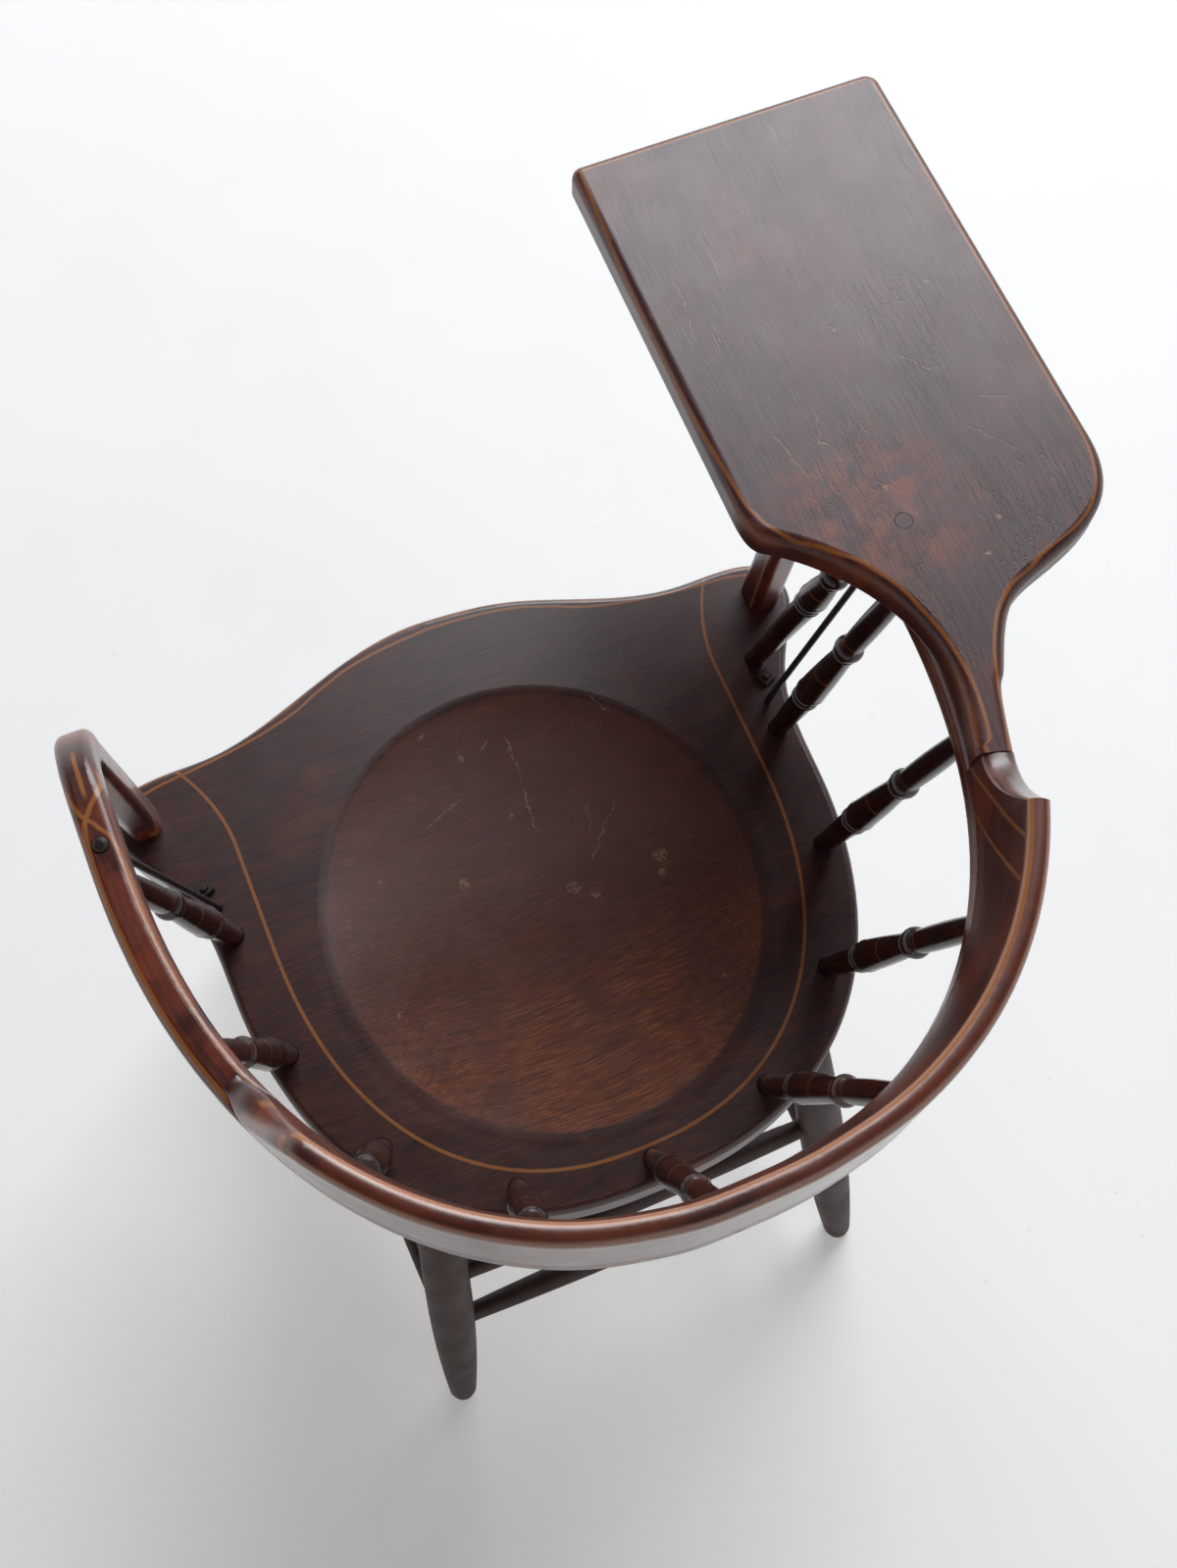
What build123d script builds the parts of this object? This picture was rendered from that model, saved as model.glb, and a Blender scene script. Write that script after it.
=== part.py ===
from build123d import *
import os
from math import sin, cos, radians, copysign

# A rigid turned-spindle armchair of wood with a writing board on the sitter's right arm.
# Millimetres. +Z is up, the chair faces -Y, the sitter's left is +X.
# Origin: on the floor, on the seat's centre line.
LEFT = 1
RIGHT = -1

# clearances
FIT = 0.3               # radial gap of a round tenon in its socket
END_GAP = 2.0           # air left at the bottom of a blind socket
JOINT_GAP = 0.3         # butt joint between the writing board and the crest

# seat plank
SEAT_TOP = 440.0
SEAT_T = 42.0
SEAT_HALF_W = 221.0     # at the waist
SEAT_BACK_D = 252.0     # from the widest line to the back edge
SEAT_FRONT_D = 192.0    # from the widest line to the front edge
WIDEST_Y = -20.0        # the line across the seat from which both depths are measured
SEAT_EXP = 2.4          # fullness of the rounded back
SEAT_TOP_ROUND = 5.0
SEAT_UNDER_ROUND = 9.0
SEAT_BACK_DEG = (6, 20, 35, 50, 65, 80, 90)   # where the outline takes its points on the round back
DISH_HALF_W = SEAT_HALF_W - 68.0
DISH_HALF_D = 165.0
DISH_Y = 24.0
DISH_DEPTH = 13.0
DISH_LIFT = 6.0         # the dished surface's centre stands this far above the seat
DISH_RIM_R = 16.0       # worn rim between the dish and the flat

# bent arm bow, the two ends of which turn down to the seat
BOW_BOTTOM = SEAT_TOP + 219.0
BOW_T = 25.0
BOW_W = 22.0
BOW_EDGE = 6.0
BOW_BACK_D = SEAT_BACK_D + 56.0
BOW_HALF_W = {LEFT: SEAT_HALF_W + 23.0, RIGHT: SEAT_HALF_W + 31.0}
BOW_EXP = {LEFT: 2.15, RIGHT: 2.4}
POST_FOOT_X = SEAT_HALF_W + 17.0
POST_FOOT_Y = WIDEST_Y - 117.0
BOW_FRONT_Y = {LEFT: POST_FOOT_Y + 10.0, RIGHT: POST_FOOT_Y - 6.0}
BOW_BEND_R = 70.0       # outside of the front bends
POST_TENON_W = 14.0
POST_TENON_T = 16.0
POST_TENON_L = 24.0

# crest on the back of the bow
CREST_H = 79.0
CREST_TOP_W = 13.0
CREST_TOP_ROUND = 7.1   # depth that the crown's rounding nears as the crest rises
CREST_ROUND_IN = 8.0    # height at which it has half of that depth
CREST_BELLY = 0.22      # how little of its lean the full inner face takes low down; 0.5 is straight
CREST_LEAN = 5.0        # how far the crest's top centre stands behind its foot centre
CREST_START = {LEFT: 26.5, RIGHT: 22.4}   # degrees round the bow from its widest line
END_L = {LEFT: 72.0, RIGHT: 48.0}     # length over which each end reaches full height
CREST_FEATHER = 1.5     # height of the left end, which dies into the arm
END_STEPS = 6          # sections of a crest end beyond its first
EASE_STEPS = 2          # how many of them it takes the arm's rounded edges to run out
EASED_EDGE = 0.4        # what is left of those edges there

# writing board
BOARD_T = 24.0
BOARD_ROUND = 7.0
BOARD_UNDER_ROUND = 5.0
BOARD_OUTER_CORNER_R = 10.0
BOARD_INNER_CORNER_R = 7.5
BOARD_IN = 86.5         # inner edge, measured inward from the bow's line
BOARD_OUT = 133.4       # outer edge, measured outward
BOARD_FRONT_Y = -346.0
BOARD_TAPER = 3.0       # the inner edge stands this much further out at the front
BOARD_INNER_CORNER_Y = -82.0
BOARD_OUTER_CORNER_Y = -46.0
BOARD_NECK_IN = ((14.0, 62.0), (33.5, -8.5), (75.0, -52.0))    # seam to inner corner, from the bow's line
BOARD_NECK_OUT = ((-119.0, -4.5), (-69.5, 21.5), (-36.5, 37.5), (-13.0, 74.0))   # outer corner to seam

# spindles
SPINDLE_END_R = 6.6
SPINDLE_SEAT_L = 24.0
SPINDLE_BOW_L = 15.0
RING_HALF_W = SEAT_HALF_W - 15.0     # the oval on the seat on which the spindles stand
RING_BACK_D = SEAT_BACK_D - 17.0
RING_EXP = 2.3
SPINDLE_FOOT_DEG = (-2.3, 16.4, 40.3, 67.4, 90.0)
SPINDLE_HEAD_DEG = {LEFT: (0.7, 20.9, 43.6, 67.8, 90.0), RIGHT: (0.6, 16.8, 40.7, 66.7, 90.0)}
SPINDLE_RINGS = (0.28, 0.60)     # heights of the two rings, as shares of the shown length
FOOT_SWELL = 1.5        # radius gained over the tenon halfway up the foot
FOOT_FLARE = 2.4        # radius gained at the top of the foot
NECK_FLARE = 1.0        # radius gained at the lower end of the neck
VASE = ((0.0, -0.6), (2.0, 1.2), (7.0, 1.6))     # (up from the lower ring, out from the flare)
VASE_WAIST = 0.5
RING_HALF = 2.4
RING_H = 1.1
COLLAR_HALF = 5.5
COLLAR_H = 2.6
SUPPORT_RINGS = (0.52, 0.70)
SUPPORT_FOOT = (8.0 - SEAT_HALF_W, -91.0)
SUPPORT_HEAD_Y = -53.0

# legs
LEG_SOCKET_D = 28.0
LEG_TOP_R = 13.0
LEG_MAX_R = 17.6
LEG_FOOT_R = 11.5
LEG_FOOT_ROUND = 5.0
LEG_SWELL = (0.26, 0.52, 0.78)    # shares of the shown length; the leg is fullest at the middle one
LEG_DROP = 1.2          # radius lost at the other two
LEG_FEET = {"rear": (SEAT_HALF_W - 43.0, 272.0), "front": (SEAT_HALF_W - 35.0, -208.0)}
LEG_SLOPE = {"rear": (-0.096, -0.272), "front": (-0.096, 0.17)}

# stretchers
STRETCHER_END_R = 7.5
STRETCHER_MID_R = 10.2
STRETCHER_SHOULDER = 4.0      # plain length outside the leg
STRETCHER_STOP = 6.0    # tenon ends this far from the leg's axis
ACROSS_HEIGHTS = {"lower": 150.0, "upper": 232.0}
SIDE_HEIGHTS = {"lower": 106.0, "upper": 191.0}

# iron
ROD_R = 2.3
ROD_FOOT = (SEAT_HALF_W - 12.0, -57.5)
ROD_HEAD = {LEFT: (BOW_HALF_W[LEFT] + 0.5, -28.6), RIGHT: (2.7 - BOW_HALF_W[RIGHT], -36.3)}
ROD_HEAD_R = 5.0
ROD_HEAD_H = 4.0
ROD_HEAD_SINK = 1.5     # the left head is let this far into the arm
ROD_TAIL = 8.5          # rod end below the seat's spot-face
WASHER_R = 7.0
WASHER_T = 1.5
NUT_W = 10.0
NUT_T = 4.5
NUT_BEVEL = 0.6
NUT_TURN = 20.0
SPOT_R = 8.5
SPOT_D = 3.0
PLUG_R = 5.2
PLUG_L = 7.0
BOLT_R = 2.5
BOLT_X = SEAT_HALF_W - 7.0
BOLT_Y = -73.5
BOLT_HEAD_R = 7.0
BOLT_HEAD_H = 3.0
BOLT_END = 2.5
DOME = 0.85             # edge radius of a domed head, as a share of its height
SCREW_R = 2.2
SCREW_HEAD_R = 4.2
SCREW_HEAD_H = 3.0
SCREW_SINK = 1.0        # screw heads lie this far inside the bow's underside
SCREW_SLOT = (1.0, 1.2)
SCREW_BITE = 14.0
CREST_SCREWS = ((LEFT, 55.0), (LEFT, 79.0), (RIGHT, 79.0), (RIGHT, 55.0))     # degrees round the bow
BOARD_SCREWS = ((RIGHT, 13.5), (RIGHT, 4.5))

SEAT_BOTTOM = SEAT_TOP - SEAT_T
BOW_TOP = BOW_BOTTOM + BOW_T
BOARD_TOP = BOW_TOP + BOARD_T
PAST = 20.0             # how far a cutting shape runs on into the air
STAND = (Align.CENTER, Align.CENTER, Align.MIN)
HANG = (Align.CENTER, Align.CENTER, Align.MAX)


def oval(half_w, depth, exponent, deg):
    """Point on a superellipse whose widest line is y = WIDEST_Y."""
    c, s = cos(radians(deg)), sin(radians(deg))
    x = copysign(abs(c) ** (2 / exponent), c) * half_w
    y = copysign(abs(s) ** (2 / exponent), s) * depth
    return Vector(x, WIDEST_Y + y)


def bow_point(side, deg, z=0.0):
    """Bow centre line; deg runs from 0 at the widest line to 90 at the back."""
    p = oval(BOW_HALF_W[side], BOW_BACK_D, BOW_EXP[side], deg)
    return Vector(side * p.X, p.Y, z)


def bow_curve(side, start, end, z):
    """Stretch of the bow's centre line on one side, as one spline."""
    steps = max(2, round((end - start) / 7.5))
    points = [bow_point(side, start + (end - start) * i / steps, z) for i in range(steps + 1)]
    nudge = 0.01
    first = bow_point(side, start + nudge, z) - points[0] if start > 0 else Vector(0, 1)
    last = points[-1] - bow_point(side, end - nudge, z) if end < 90 else Vector(-side, 0)
    return Spline(points, tangents=[first, last])


def across(start, heading, side):
    """Plane square to a level path, its local x pointing out of the bow and its local y up."""
    out = heading.cross(Vector(0, 0, 1)) * side
    return Plane(origin=start, x_dir=out, z_dir=out.cross(Vector(0, 0, 1)))


def drill(start, end, radius, below=0.0, above=0.0):
    """Cylinder along a line, run on past both ends."""
    d = (end - start).normalized()
    length = (end - start).length + below + above
    return Plane(origin=start - d * below, z_dir=d) * Cylinder(radius, length, align=STAND)


def along(start, end, shape):
    """Place a shape built up the Z axis on the line from start to end."""
    return Plane(origin=start, z_dir=end - start) * shape


# ---- lines the pieces share ----

def spindle_lines():
    """(foot on the seat, head under the bow) of the nine spindles, from left to right."""
    order = [(LEFT, i) for i in range(5)] + [(RIGHT, i) for i in range(3, -1, -1)]
    lines = []
    for side, i in order:
        foot = oval(RING_HALF_W, RING_BACK_D, RING_EXP, SPINDLE_FOOT_DEG[i])
        head = bow_point(side, SPINDLE_HEAD_DEG[side][i], BOW_BOTTOM)
        lines.append((Vector(side * foot.X, foot.Y, SEAT_TOP), head))
    return lines


def support_line():
    x = -BOW_HALF_W[RIGHT]
    return Vector(*SUPPORT_FOOT, SEAT_TOP), Vector(x, SUPPORT_HEAD_Y, BOW_BOTTOM)


def rod_line(side):
    foot = Vector(side * ROD_FOOT[0], ROD_FOOT[1], SEAT_TOP)
    return foot, Vector(*ROD_HEAD[side], BOW_TOP)


def rod_spot(side):
    """Where the rod meets the spot-face under the seat."""
    foot, head = rod_line(side)
    d = (head - foot).normalized()
    return foot - d * ((SEAT_T - SPOT_D) / d.Z)


def leg_point(end, side, z):
    fx, fy = LEG_FEET[end]
    sx, sy = LEG_SLOPE[end]
    return Vector(side * (fx + sx * z), fy + sy * z, z)


def post_foot(side):
    return Vector(side * POST_FOOT_X, POST_FOOT_Y, SEAT_TOP)


# ---- seat ----

def seat_outline():
    """Wavy front with an ear at each post, a waist, and a full round back."""
    front = [(0.0, 1.0), (0.258, 0.964), (0.538, 0.854), (0.814, 0.772), (1.023, 0.766),
             (1.145, 0.712), (1.176, 0.589), (1.113, 0.427), (1.032, 0.245)]
    half = [Vector(u * SEAT_HALF_W, WIDEST_Y - v * SEAT_FRONT_D) for u, v in front]
    half += [oval(SEAT_HALF_W, SEAT_BACK_D, SEAT_EXP, d) for d in SEAT_BACK_DEG]
    other = [Vector(-p.X, p.Y) for p in reversed(half[1:-1])]
    return make_face(Spline(half + other, periodic=True))


def dish_rim(body):
    """The edge round the dish: the only one at the seat's top inside the plank's own."""
    level = [e for e in body.edges() if abs(e.bounding_box().min.Z - SEAT_TOP) < FIT]
    return [e for e in level if e.bounding_box().size.X < 2 * DISH_HALF_W + 1]


def seat():
    body = extrude(Plane.XY.offset(SEAT_BOTTOM) * seat_outline(), SEAT_T)
    body = fillet(body.edges().group_by(Axis.Z)[-1], SEAT_TOP_ROUND)
    body = fillet(body.edges().group_by(Axis.Z)[0], SEAT_UNDER_ROUND)
    depth = DISH_DEPTH + DISH_LIFT
    spread = 1 / (1 - (DISH_LIFT / depth) ** 2) ** 0.5
    bowl = scale(Sphere(1), by=(DISH_HALF_W * spread, DISH_HALF_D * spread, depth))
    body -= Pos(0, DISH_Y, SEAT_TOP + DISH_LIFT) * bowl
    body = fillet(dish_rim(body), DISH_RIM_R)
    for foot, head in spindle_lines() + [support_line()]:
        d = (head - foot).normalized()
        body -= drill(foot - d * SPINDLE_SEAT_L, foot, SPINDLE_END_R + FIT, END_GAP, PAST)
    for end in LEG_FEET:
        for side in (LEFT, RIGHT):
            low = leg_point(end, side, SEAT_BOTTOM)
            high = leg_point(end, side, SEAT_BOTTOM + LEG_SOCKET_D)
            body -= drill(low, high, LEG_TOP_R + FIT, PAST, END_GAP)
    mortise = Box(POST_TENON_W + 2 * FIT, POST_TENON_T + 2 * FIT, POST_TENON_L + END_GAP, align=HANG)
    for side in (LEFT, RIGHT):
        body -= Pos(post_foot(side)) * mortise
        foot, head = rod_line(side)
        body -= drill(rod_spot(side), foot, ROD_R + FIT, PAST, PAST)
        body -= drill(rod_spot(side), rod_spot(side) - (head - foot), SPOT_R)
        body -= Pos(side * BOLT_X, BOLT_Y, SEAT_TOP) * Cylinder(BOLT_R + FIT, 3 * SEAT_T)
    return body


# ---- bow ----

def bow_section(top_edge=BOW_EDGE):
    """Rectangle with eased corners; the top ones stay square under the crest."""
    face = Rectangle(BOW_W, BOW_T)
    lower, upper = face.vertices().group_by(Axis.Y)
    face = fillet(lower, BOW_EDGE)
    return fillet(face.vertices().group_by(Axis.Y)[-1], top_edge) if top_edge else face


def bow_length(side, start, end, top_edge=BOW_EDGE):
    mid = BOW_BOTTOM + BOW_T / 2
    path = bow_curve(side, start, end, mid)
    return sweep(across(path @ 0, path % 0, side) * bow_section(top_edge), path=path)


def ease_edge(step):
    """Radius of the arm's top edges at one of the crest's first sections on the left."""
    return BOW_EDGE + (EASED_EDGE - BOW_EDGE) * min(step / EASE_STEPS, 1)


def bow_under_crest(side):
    """Back half of the bow, flat on top; on the left the arm's rounded edges run out into it."""
    path = bow_curve(side, CREST_START[side], 90, BOW_BOTTOM + BOW_T / 2)
    if side == RIGHT:
        return sweep(across(path @ 0, path % 0, side) * bow_section(0), path=path)
    stations = [END_L[side] * i / END_STEPS / path.length for i in range(EASE_STEPS + 1)]
    sections = [across(path @ t, path % t, side) * bow_section(ease_edge(i)) for i, t in enumerate(stations)]
    rest = path.trim(stations[-1], 1)
    return loft(sections) + sweep(across(rest @ 0, rest % 0, side) * bow_section(0), path=rest)


def bow_front(side):
    """Straight arm, quarter bend and the post down to the seat."""
    x = side * BOW_HALF_W[side]
    mid = BOW_BOTTOM + BOW_T / 2
    bend_y = BOW_FRONT_Y[side] + BOW_BEND_R
    bend_z = BOW_TOP - BOW_BEND_R
    section = Plane(origin=(x, WIDEST_Y, mid), x_dir=(1, 0, 0), z_dir=(0, -1, 0))
    arm = extrude(section * bow_section(), WIDEST_Y - bend_y)
    turn = Plane(origin=(x, bend_y, mid), x_dir=(1, 0, 0), z_dir=(0, -1, 0))
    bend = revolve(turn * bow_section(), Axis((x, bend_y, bend_z), (1, 0, 0)), 90)
    top_y = BOW_FRONT_Y[side] + BOW_T / 2
    post = loft([Pos(x, top_y, bend_z) * bow_section(),
                 Pos(post_foot(side)) * bow_section()])
    tenon = Pos(post_foot(side)) * Box(POST_TENON_W, POST_TENON_T, POST_TENON_L, align=HANG)
    return arm + bend + post + tenon


def arm_bow():
    body = bow_front(LEFT)
    body += bow_length(LEFT, 0, CREST_START[LEFT])
    body += bow_under_crest(LEFT)
    body += bow_under_crest(RIGHT)
    body += bow_length(RIGHT, 0, CREST_START[RIGHT])
    body += bow_front(RIGHT)
    for foot, head in spindle_lines() + [support_line()]:
        d = (head - foot).normalized()
        body -= drill(head, head + d * SPINDLE_BOW_L, SPINDLE_END_R + FIT, PAST, END_GAP)
    for side in (LEFT, RIGHT):
        foot, head = rod_line(side)
        body -= drill(foot, head, ROD_R + FIT, 0, PAST)
    body -= rod_head_bore(LEFT)
    for side, deg in CREST_SCREWS + BOARD_SCREWS:
        body -= screw_bore(side, deg)
    return body


def rod_head_seat(side):
    """Underside of the rod's head: let into the arm, or deep in the writing board under the plug."""
    foot, head = rod_line(side)
    d = (head - foot).normalized()
    if side == LEFT:
        return head - d * ROD_HEAD_SINK
    return head + d * ((BOARD_T - PLUG_L) / d.Z - ROD_HEAD_H - FIT)


def rod_head_bore(side):
    """Flat-bottomed hole for the head and, on the writing side, for the plug over it."""
    foot, head = rod_line(side)
    low = rod_head_seat(side)
    radius = ROD_HEAD_R if side == LEFT else PLUG_R
    return drill(low, low + (head - foot), radius + FIT)


# ---- crest ----

def crest_section(height=CREST_H, half=BOW_W / 2):
    """Upright on a base half wide to either side, thinner towards the top and rounded there."""
    share = height / CREST_H
    top = half + (CREST_TOP_W / 2 - half) * share
    lean = CREST_LEAN * share
    shoulder = height - CREST_TOP_ROUND * height / (height + CREST_ROUND_IN)
    inner = lean - top
    outer = lean + top
    belly = -half + (inner + half) * (0.5 + (CREST_BELLY - 0.5) * share)
    face = Bezier((-half, 0), (belly, shoulder / 2), (inner, shoulder))
    crown = Bezier((inner, shoulder), (inner, height), (lean, height), (outer, height), (outer, shoulder))
    back = Line((outer, shoulder), (half, 0))
    return make_face([face, crown, back, Line((half, 0), (-half, 0))])


def crest_end(side, path, low):
    """End whose section grows from low to full height: a smooth rise on the left, a scoop on the right."""
    sections = []
    for i in range(END_STEPS + 1):
        share = i / END_STEPS
        t = END_L[side] * share / path.length
        half = BOW_W / 2
        if side == LEFT and i <= EASE_STEPS:
            half -= ease_edge(i)
        rise = share ** 2 * (3 - 2 * share) if side == LEFT else share ** 2
        height = low + (CREST_H - low) * rise
        sections.append(across(path @ t, path % t, side) * crest_section(height, half))
    return loft(sections)


def crest_half(side, low):
    path = bow_curve(side, CREST_START[side], 90, BOW_TOP)
    rest = path.trim(END_L[side] / path.length, 1)
    return crest_end(side, path, low) + sweep(across(rest @ 0, rest % 0, side) * crest_section(), path=rest)


def crest():
    body = crest_half(LEFT, CREST_FEATHER) + crest_half(RIGHT, BOARD_T)
    for side, deg in CREST_SCREWS:
        body -= screw_bore(side, deg)
    return body


# ---- writing board ----

def board_outline():
    """Paddle shape whose neck runs back along the bow to the butt joint with the crest."""
    seam = bow_point(RIGHT, CREST_START[RIGHT])
    run = (bow_point(RIGHT, CREST_START[RIGHT] - 0.5) - seam).normalized()
    out = Vector(run.Y, -run.X)
    start = seam + run * JOINT_GAP
    inner_seam = start - out * BOW_W / 2
    outer_seam = start + out * BOW_W / 2
    line = -BOW_HALF_W[RIGHT]
    inner_corner = Vector(line + BOARD_IN, BOARD_INNER_CORNER_Y)
    outer_corner = Vector(line - BOARD_OUT, BOARD_OUTER_CORNER_Y)
    inner_front = Vector(line + BOARD_IN - BOARD_TAPER, BOARD_FRONT_Y)
    outer_front = Vector(line - BOARD_OUT, BOARD_FRONT_Y)
    neck_in = [Vector(line + x, y) for x, y in BOARD_NECK_IN]
    neck_out = [Vector(line + x, y) for x, y in BOARD_NECK_OUT]
    inner = Spline([inner_seam, *neck_in, inner_corner], tangents=[run, inner_front - inner_corner])
    outer = Spline([outer_corner, *neck_out, outer_seam], tangents=[Vector(0, 1), run * -1])
    sides = Polyline(inner_corner, inner_front, outer_front, outer_corner)
    sides = fillet(sides.vertices().sort_by_distance(inner_front)[0], BOARD_INNER_CORNER_R)
    sides = fillet(sides.vertices().sort_by_distance(outer_front)[0], BOARD_OUTER_CORNER_R)
    return make_face([inner, sides, outer, Line(outer_seam, inner_seam)])


def board_rim(body, level):
    """Edges round the board's top (-1) or underside (0), without the butt joint's."""
    joint_y = body.bounding_box().max.Y - BOW_W / 2
    return [e for e in body.edges().group_by(Axis.Z)[level] if e.center().Y < joint_y]


def writing_board():
    body = extrude(Plane.XY.offset(BOW_TOP) * board_outline(), BOARD_T)
    body = fillet(board_rim(body, -1), BOARD_ROUND)
    body = fillet(board_rim(body, 0), BOARD_UNDER_ROUND)
    foot, head = rod_line(RIGHT)
    body -= drill(foot, head, ROD_R + FIT, 0, BOARD_T)
    body -= rod_head_bore(RIGHT)
    for side, deg in BOARD_SCREWS:
        body -= screw_bore(side, deg)
    return body


def board_plug():
    """Wooden plug over the rod's head, trimmed flush with the board."""
    foot, head = rod_line(RIGHT)
    d = (head - foot).normalized()
    low = rod_head_seat(RIGHT) + d * (ROD_HEAD_H + FIT)
    body = drill(low, low + d * PLUG_L, PLUG_R, 0, PAST)
    return body & (Pos(head) * Box(2 * PAST, 2 * PAST, 2 * BOARD_T))


# ---- turned pieces ----

def turned(runs):
    """Solid of revolution from runs of (height, radius): two points are a line, three an arc."""
    edges = []
    for run in runs:
        points = [(r, z) for z, r in run]
        edges.append(Line(*points) if len(points) == 2 else ThreePointArc(*points))
    low_z, low_r = runs[0][0]
    high_z, high_r = runs[-1][-1]
    edges.append(Polyline((high_r, high_z), (0, high_z), (0, low_z), (low_r, low_z)))
    return revolve(Plane.XZ * make_face(edges), Axis.Z)


def bead(z, root, height, half):
    """Round ridge as one run, height above its root and half wide to either side."""
    return [(z - half, root), (z, root + height), (z + half, root)]


def spindle(length, rings):
    """Flared foot, two groups of rings with a vase between them, and a long tapered neck."""
    r = SPINDLE_END_R
    foot_r = r + FOOT_FLARE
    neck_r = r + NECK_FLARE
    low, high = (share * length for share in rings)
    vase = [(low + up, foot_r + out) for up, out in VASE]
    foot_top = vase[0][0]
    flare = foot_top - 4 * RING_HALF
    collar = high + COLLAR_HALF / 2
    vase_top = collar - COLLAR_HALF - 2 * RING_HALF
    neck = collar + COLLAR_HALF
    runs = [
        [(-SPINDLE_SEAT_L, r), (0, r)],
        [(0, r), (low / 2, r + FOOT_SWELL), (flare, foot_r)],
        bead(flare + RING_HALF, foot_r, RING_H, RING_HALF),
        bead(foot_top - RING_HALF, foot_r, RING_H, RING_HALF),
        [(foot_top, foot_r), vase[0]],
        vase,
        [vase[-1], ((low + high) / 2, foot_r + VASE_WAIST), (vase_top, neck_r)],
        bead(vase_top + RING_HALF, neck_r, RING_H, RING_HALF),
        bead(collar, neck_r, COLLAR_H, COLLAR_HALF),
        [(neck, neck_r), ((neck + length) / 2, neck_r + NECK_FLARE / 2), (length, r)],
        [(length, r), (length + SPINDLE_BOW_L, r)],
    ]
    return turned(runs)


def leg(end, side):
    """Plain turned leg: slim foot, full middle, drawn in to the seat."""
    bottom = leg_point(end, side, 0)
    top = leg_point(end, side, SEAT_BOTTOM + LEG_SOCKET_D)
    length = (top - bottom).length
    shown = length * SEAT_BOTTOM / (SEAT_BOTTOM + LEG_SOCKET_D)
    low, full, high = (share * shown for share in LEG_SWELL)
    runs = [
        [(-LEG_FOOT_ROUND, LEG_FOOT_R - LEG_FOOT_ROUND / 2), (LEG_FOOT_ROUND, LEG_FOOT_R)],
        [(LEG_FOOT_ROUND, LEG_FOOT_R), (low, LEG_MAX_R - LEG_DROP), (full, LEG_MAX_R)],
        [(full, LEG_MAX_R), (high, LEG_MAX_R - LEG_DROP), (shown, LEG_TOP_R)],
        [(shown, LEG_TOP_R), (length, LEG_TOP_R)],
    ]
    body = along(bottom, top, turned(runs))
    body -= Pos(bottom) * Box(SEAT_BOTTOM, SEAT_BOTTOM, SEAT_BOTTOM, align=HANG)
    for start, stop in stretcher_lines().values():
        for here, other in ((start, stop), (stop, start)):
            if (here - leg_point(end, side, here.Z)).length < 1:
                d = (other - here).normalized()
                body -= drill(here + d * (STRETCHER_STOP - END_GAP), other, STRETCHER_END_R + FIT)
    return body


def stretcher_lines():
    """Leg-centre to leg-centre line of every stretcher."""
    lines = {}
    for level, z in ACROSS_HEIGHTS.items():
        for end in LEG_FEET:
            lines[end + "_" + level] = (leg_point(end, LEFT, z), leg_point(end, RIGHT, z))
    for level, z in SIDE_HEIGHTS.items():
        for side, name in ((LEFT, "left"), (RIGHT, "right")):
            lines[name + "_" + level] = (leg_point("front", side, z), leg_point("rear", side, z))
    return lines


def stretcher(start, stop):
    """Round stretcher swelling to the middle; its plain ends are the tenons."""
    length = (stop - start).length
    plain = LEG_MAX_R + STRETCHER_SHOULDER
    r = STRETCHER_END_R
    runs = [
        [(STRETCHER_STOP, r), (plain, r)],
        [(plain, r), (length / 2, STRETCHER_MID_R), (length - plain, r)],
        [(length - plain, r), (length - STRETCHER_STOP, r)],
    ]
    return along(start, stop, turned(runs))


# ---- iron ----

def tie_rod(side):
    """Iron rod from under the seat up through the arm; the left one's head is domed."""
    foot, head = rod_line(side)
    d = (head - foot).normalized()
    low = rod_spot(side) - d * ROD_TAIL
    high = rod_head_seat(side)
    cap = Cylinder(ROD_HEAD_R, ROD_HEAD_H, align=STAND)
    if side == LEFT:
        cap = fillet(cap.edges().group_by(Axis.Z)[-1], ROD_HEAD_H * DOME)
    return drill(low, high, ROD_R) + Plane(origin=high, z_dir=d) * cap


def square_nut(hole_r):
    body = Box(NUT_W, NUT_W, NUT_T, align=STAND)
    body = chamfer(body.edges().group_by(Axis.Z)[-1], NUT_BEVEL)
    return body - Cylinder(hole_r + FIT, 4 * NUT_T)


def under_seat(side, shape, offset):
    """Place a shape built up +Z so that it points down from the spot-face."""
    foot, head = rod_line(side)
    d = (head - foot).normalized()
    return Plane(origin=rod_spot(side) - d * offset, z_dir=d * -1) * shape


def tie_rod_washers():
    ring = Cylinder(WASHER_R, WASHER_T, align=STAND) - Cylinder(ROD_R + FIT, 4 * WASHER_T)
    return [under_seat(side, ring, 0) for side in (LEFT, RIGHT)]


def tie_rod_nuts():
    return [under_seat(side, square_nut(ROD_R), WASHER_T) for side in (LEFT, RIGHT)]


def seat_bolts():
    """Round-headed bolts up through the seat."""
    head = Cylinder(BOLT_HEAD_R, BOLT_HEAD_H, align=HANG)
    head = fillet(head.edges().group_by(Axis.Z)[0], BOLT_HEAD_H * DOME)
    shank = Cylinder(BOLT_R, SEAT_T + NUT_T + BOLT_END, align=STAND)
    return [Pos(side * BOLT_X, BOLT_Y, SEAT_BOTTOM) * (head + shank) for side in (LEFT, RIGHT)]


def seat_bolt_nuts():
    nut = Rot(0, 0, NUT_TURN) * square_nut(BOLT_R)
    return [Pos(side * BOLT_X, BOLT_Y, SEAT_TOP) * nut for side in (LEFT, RIGHT)]


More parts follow.
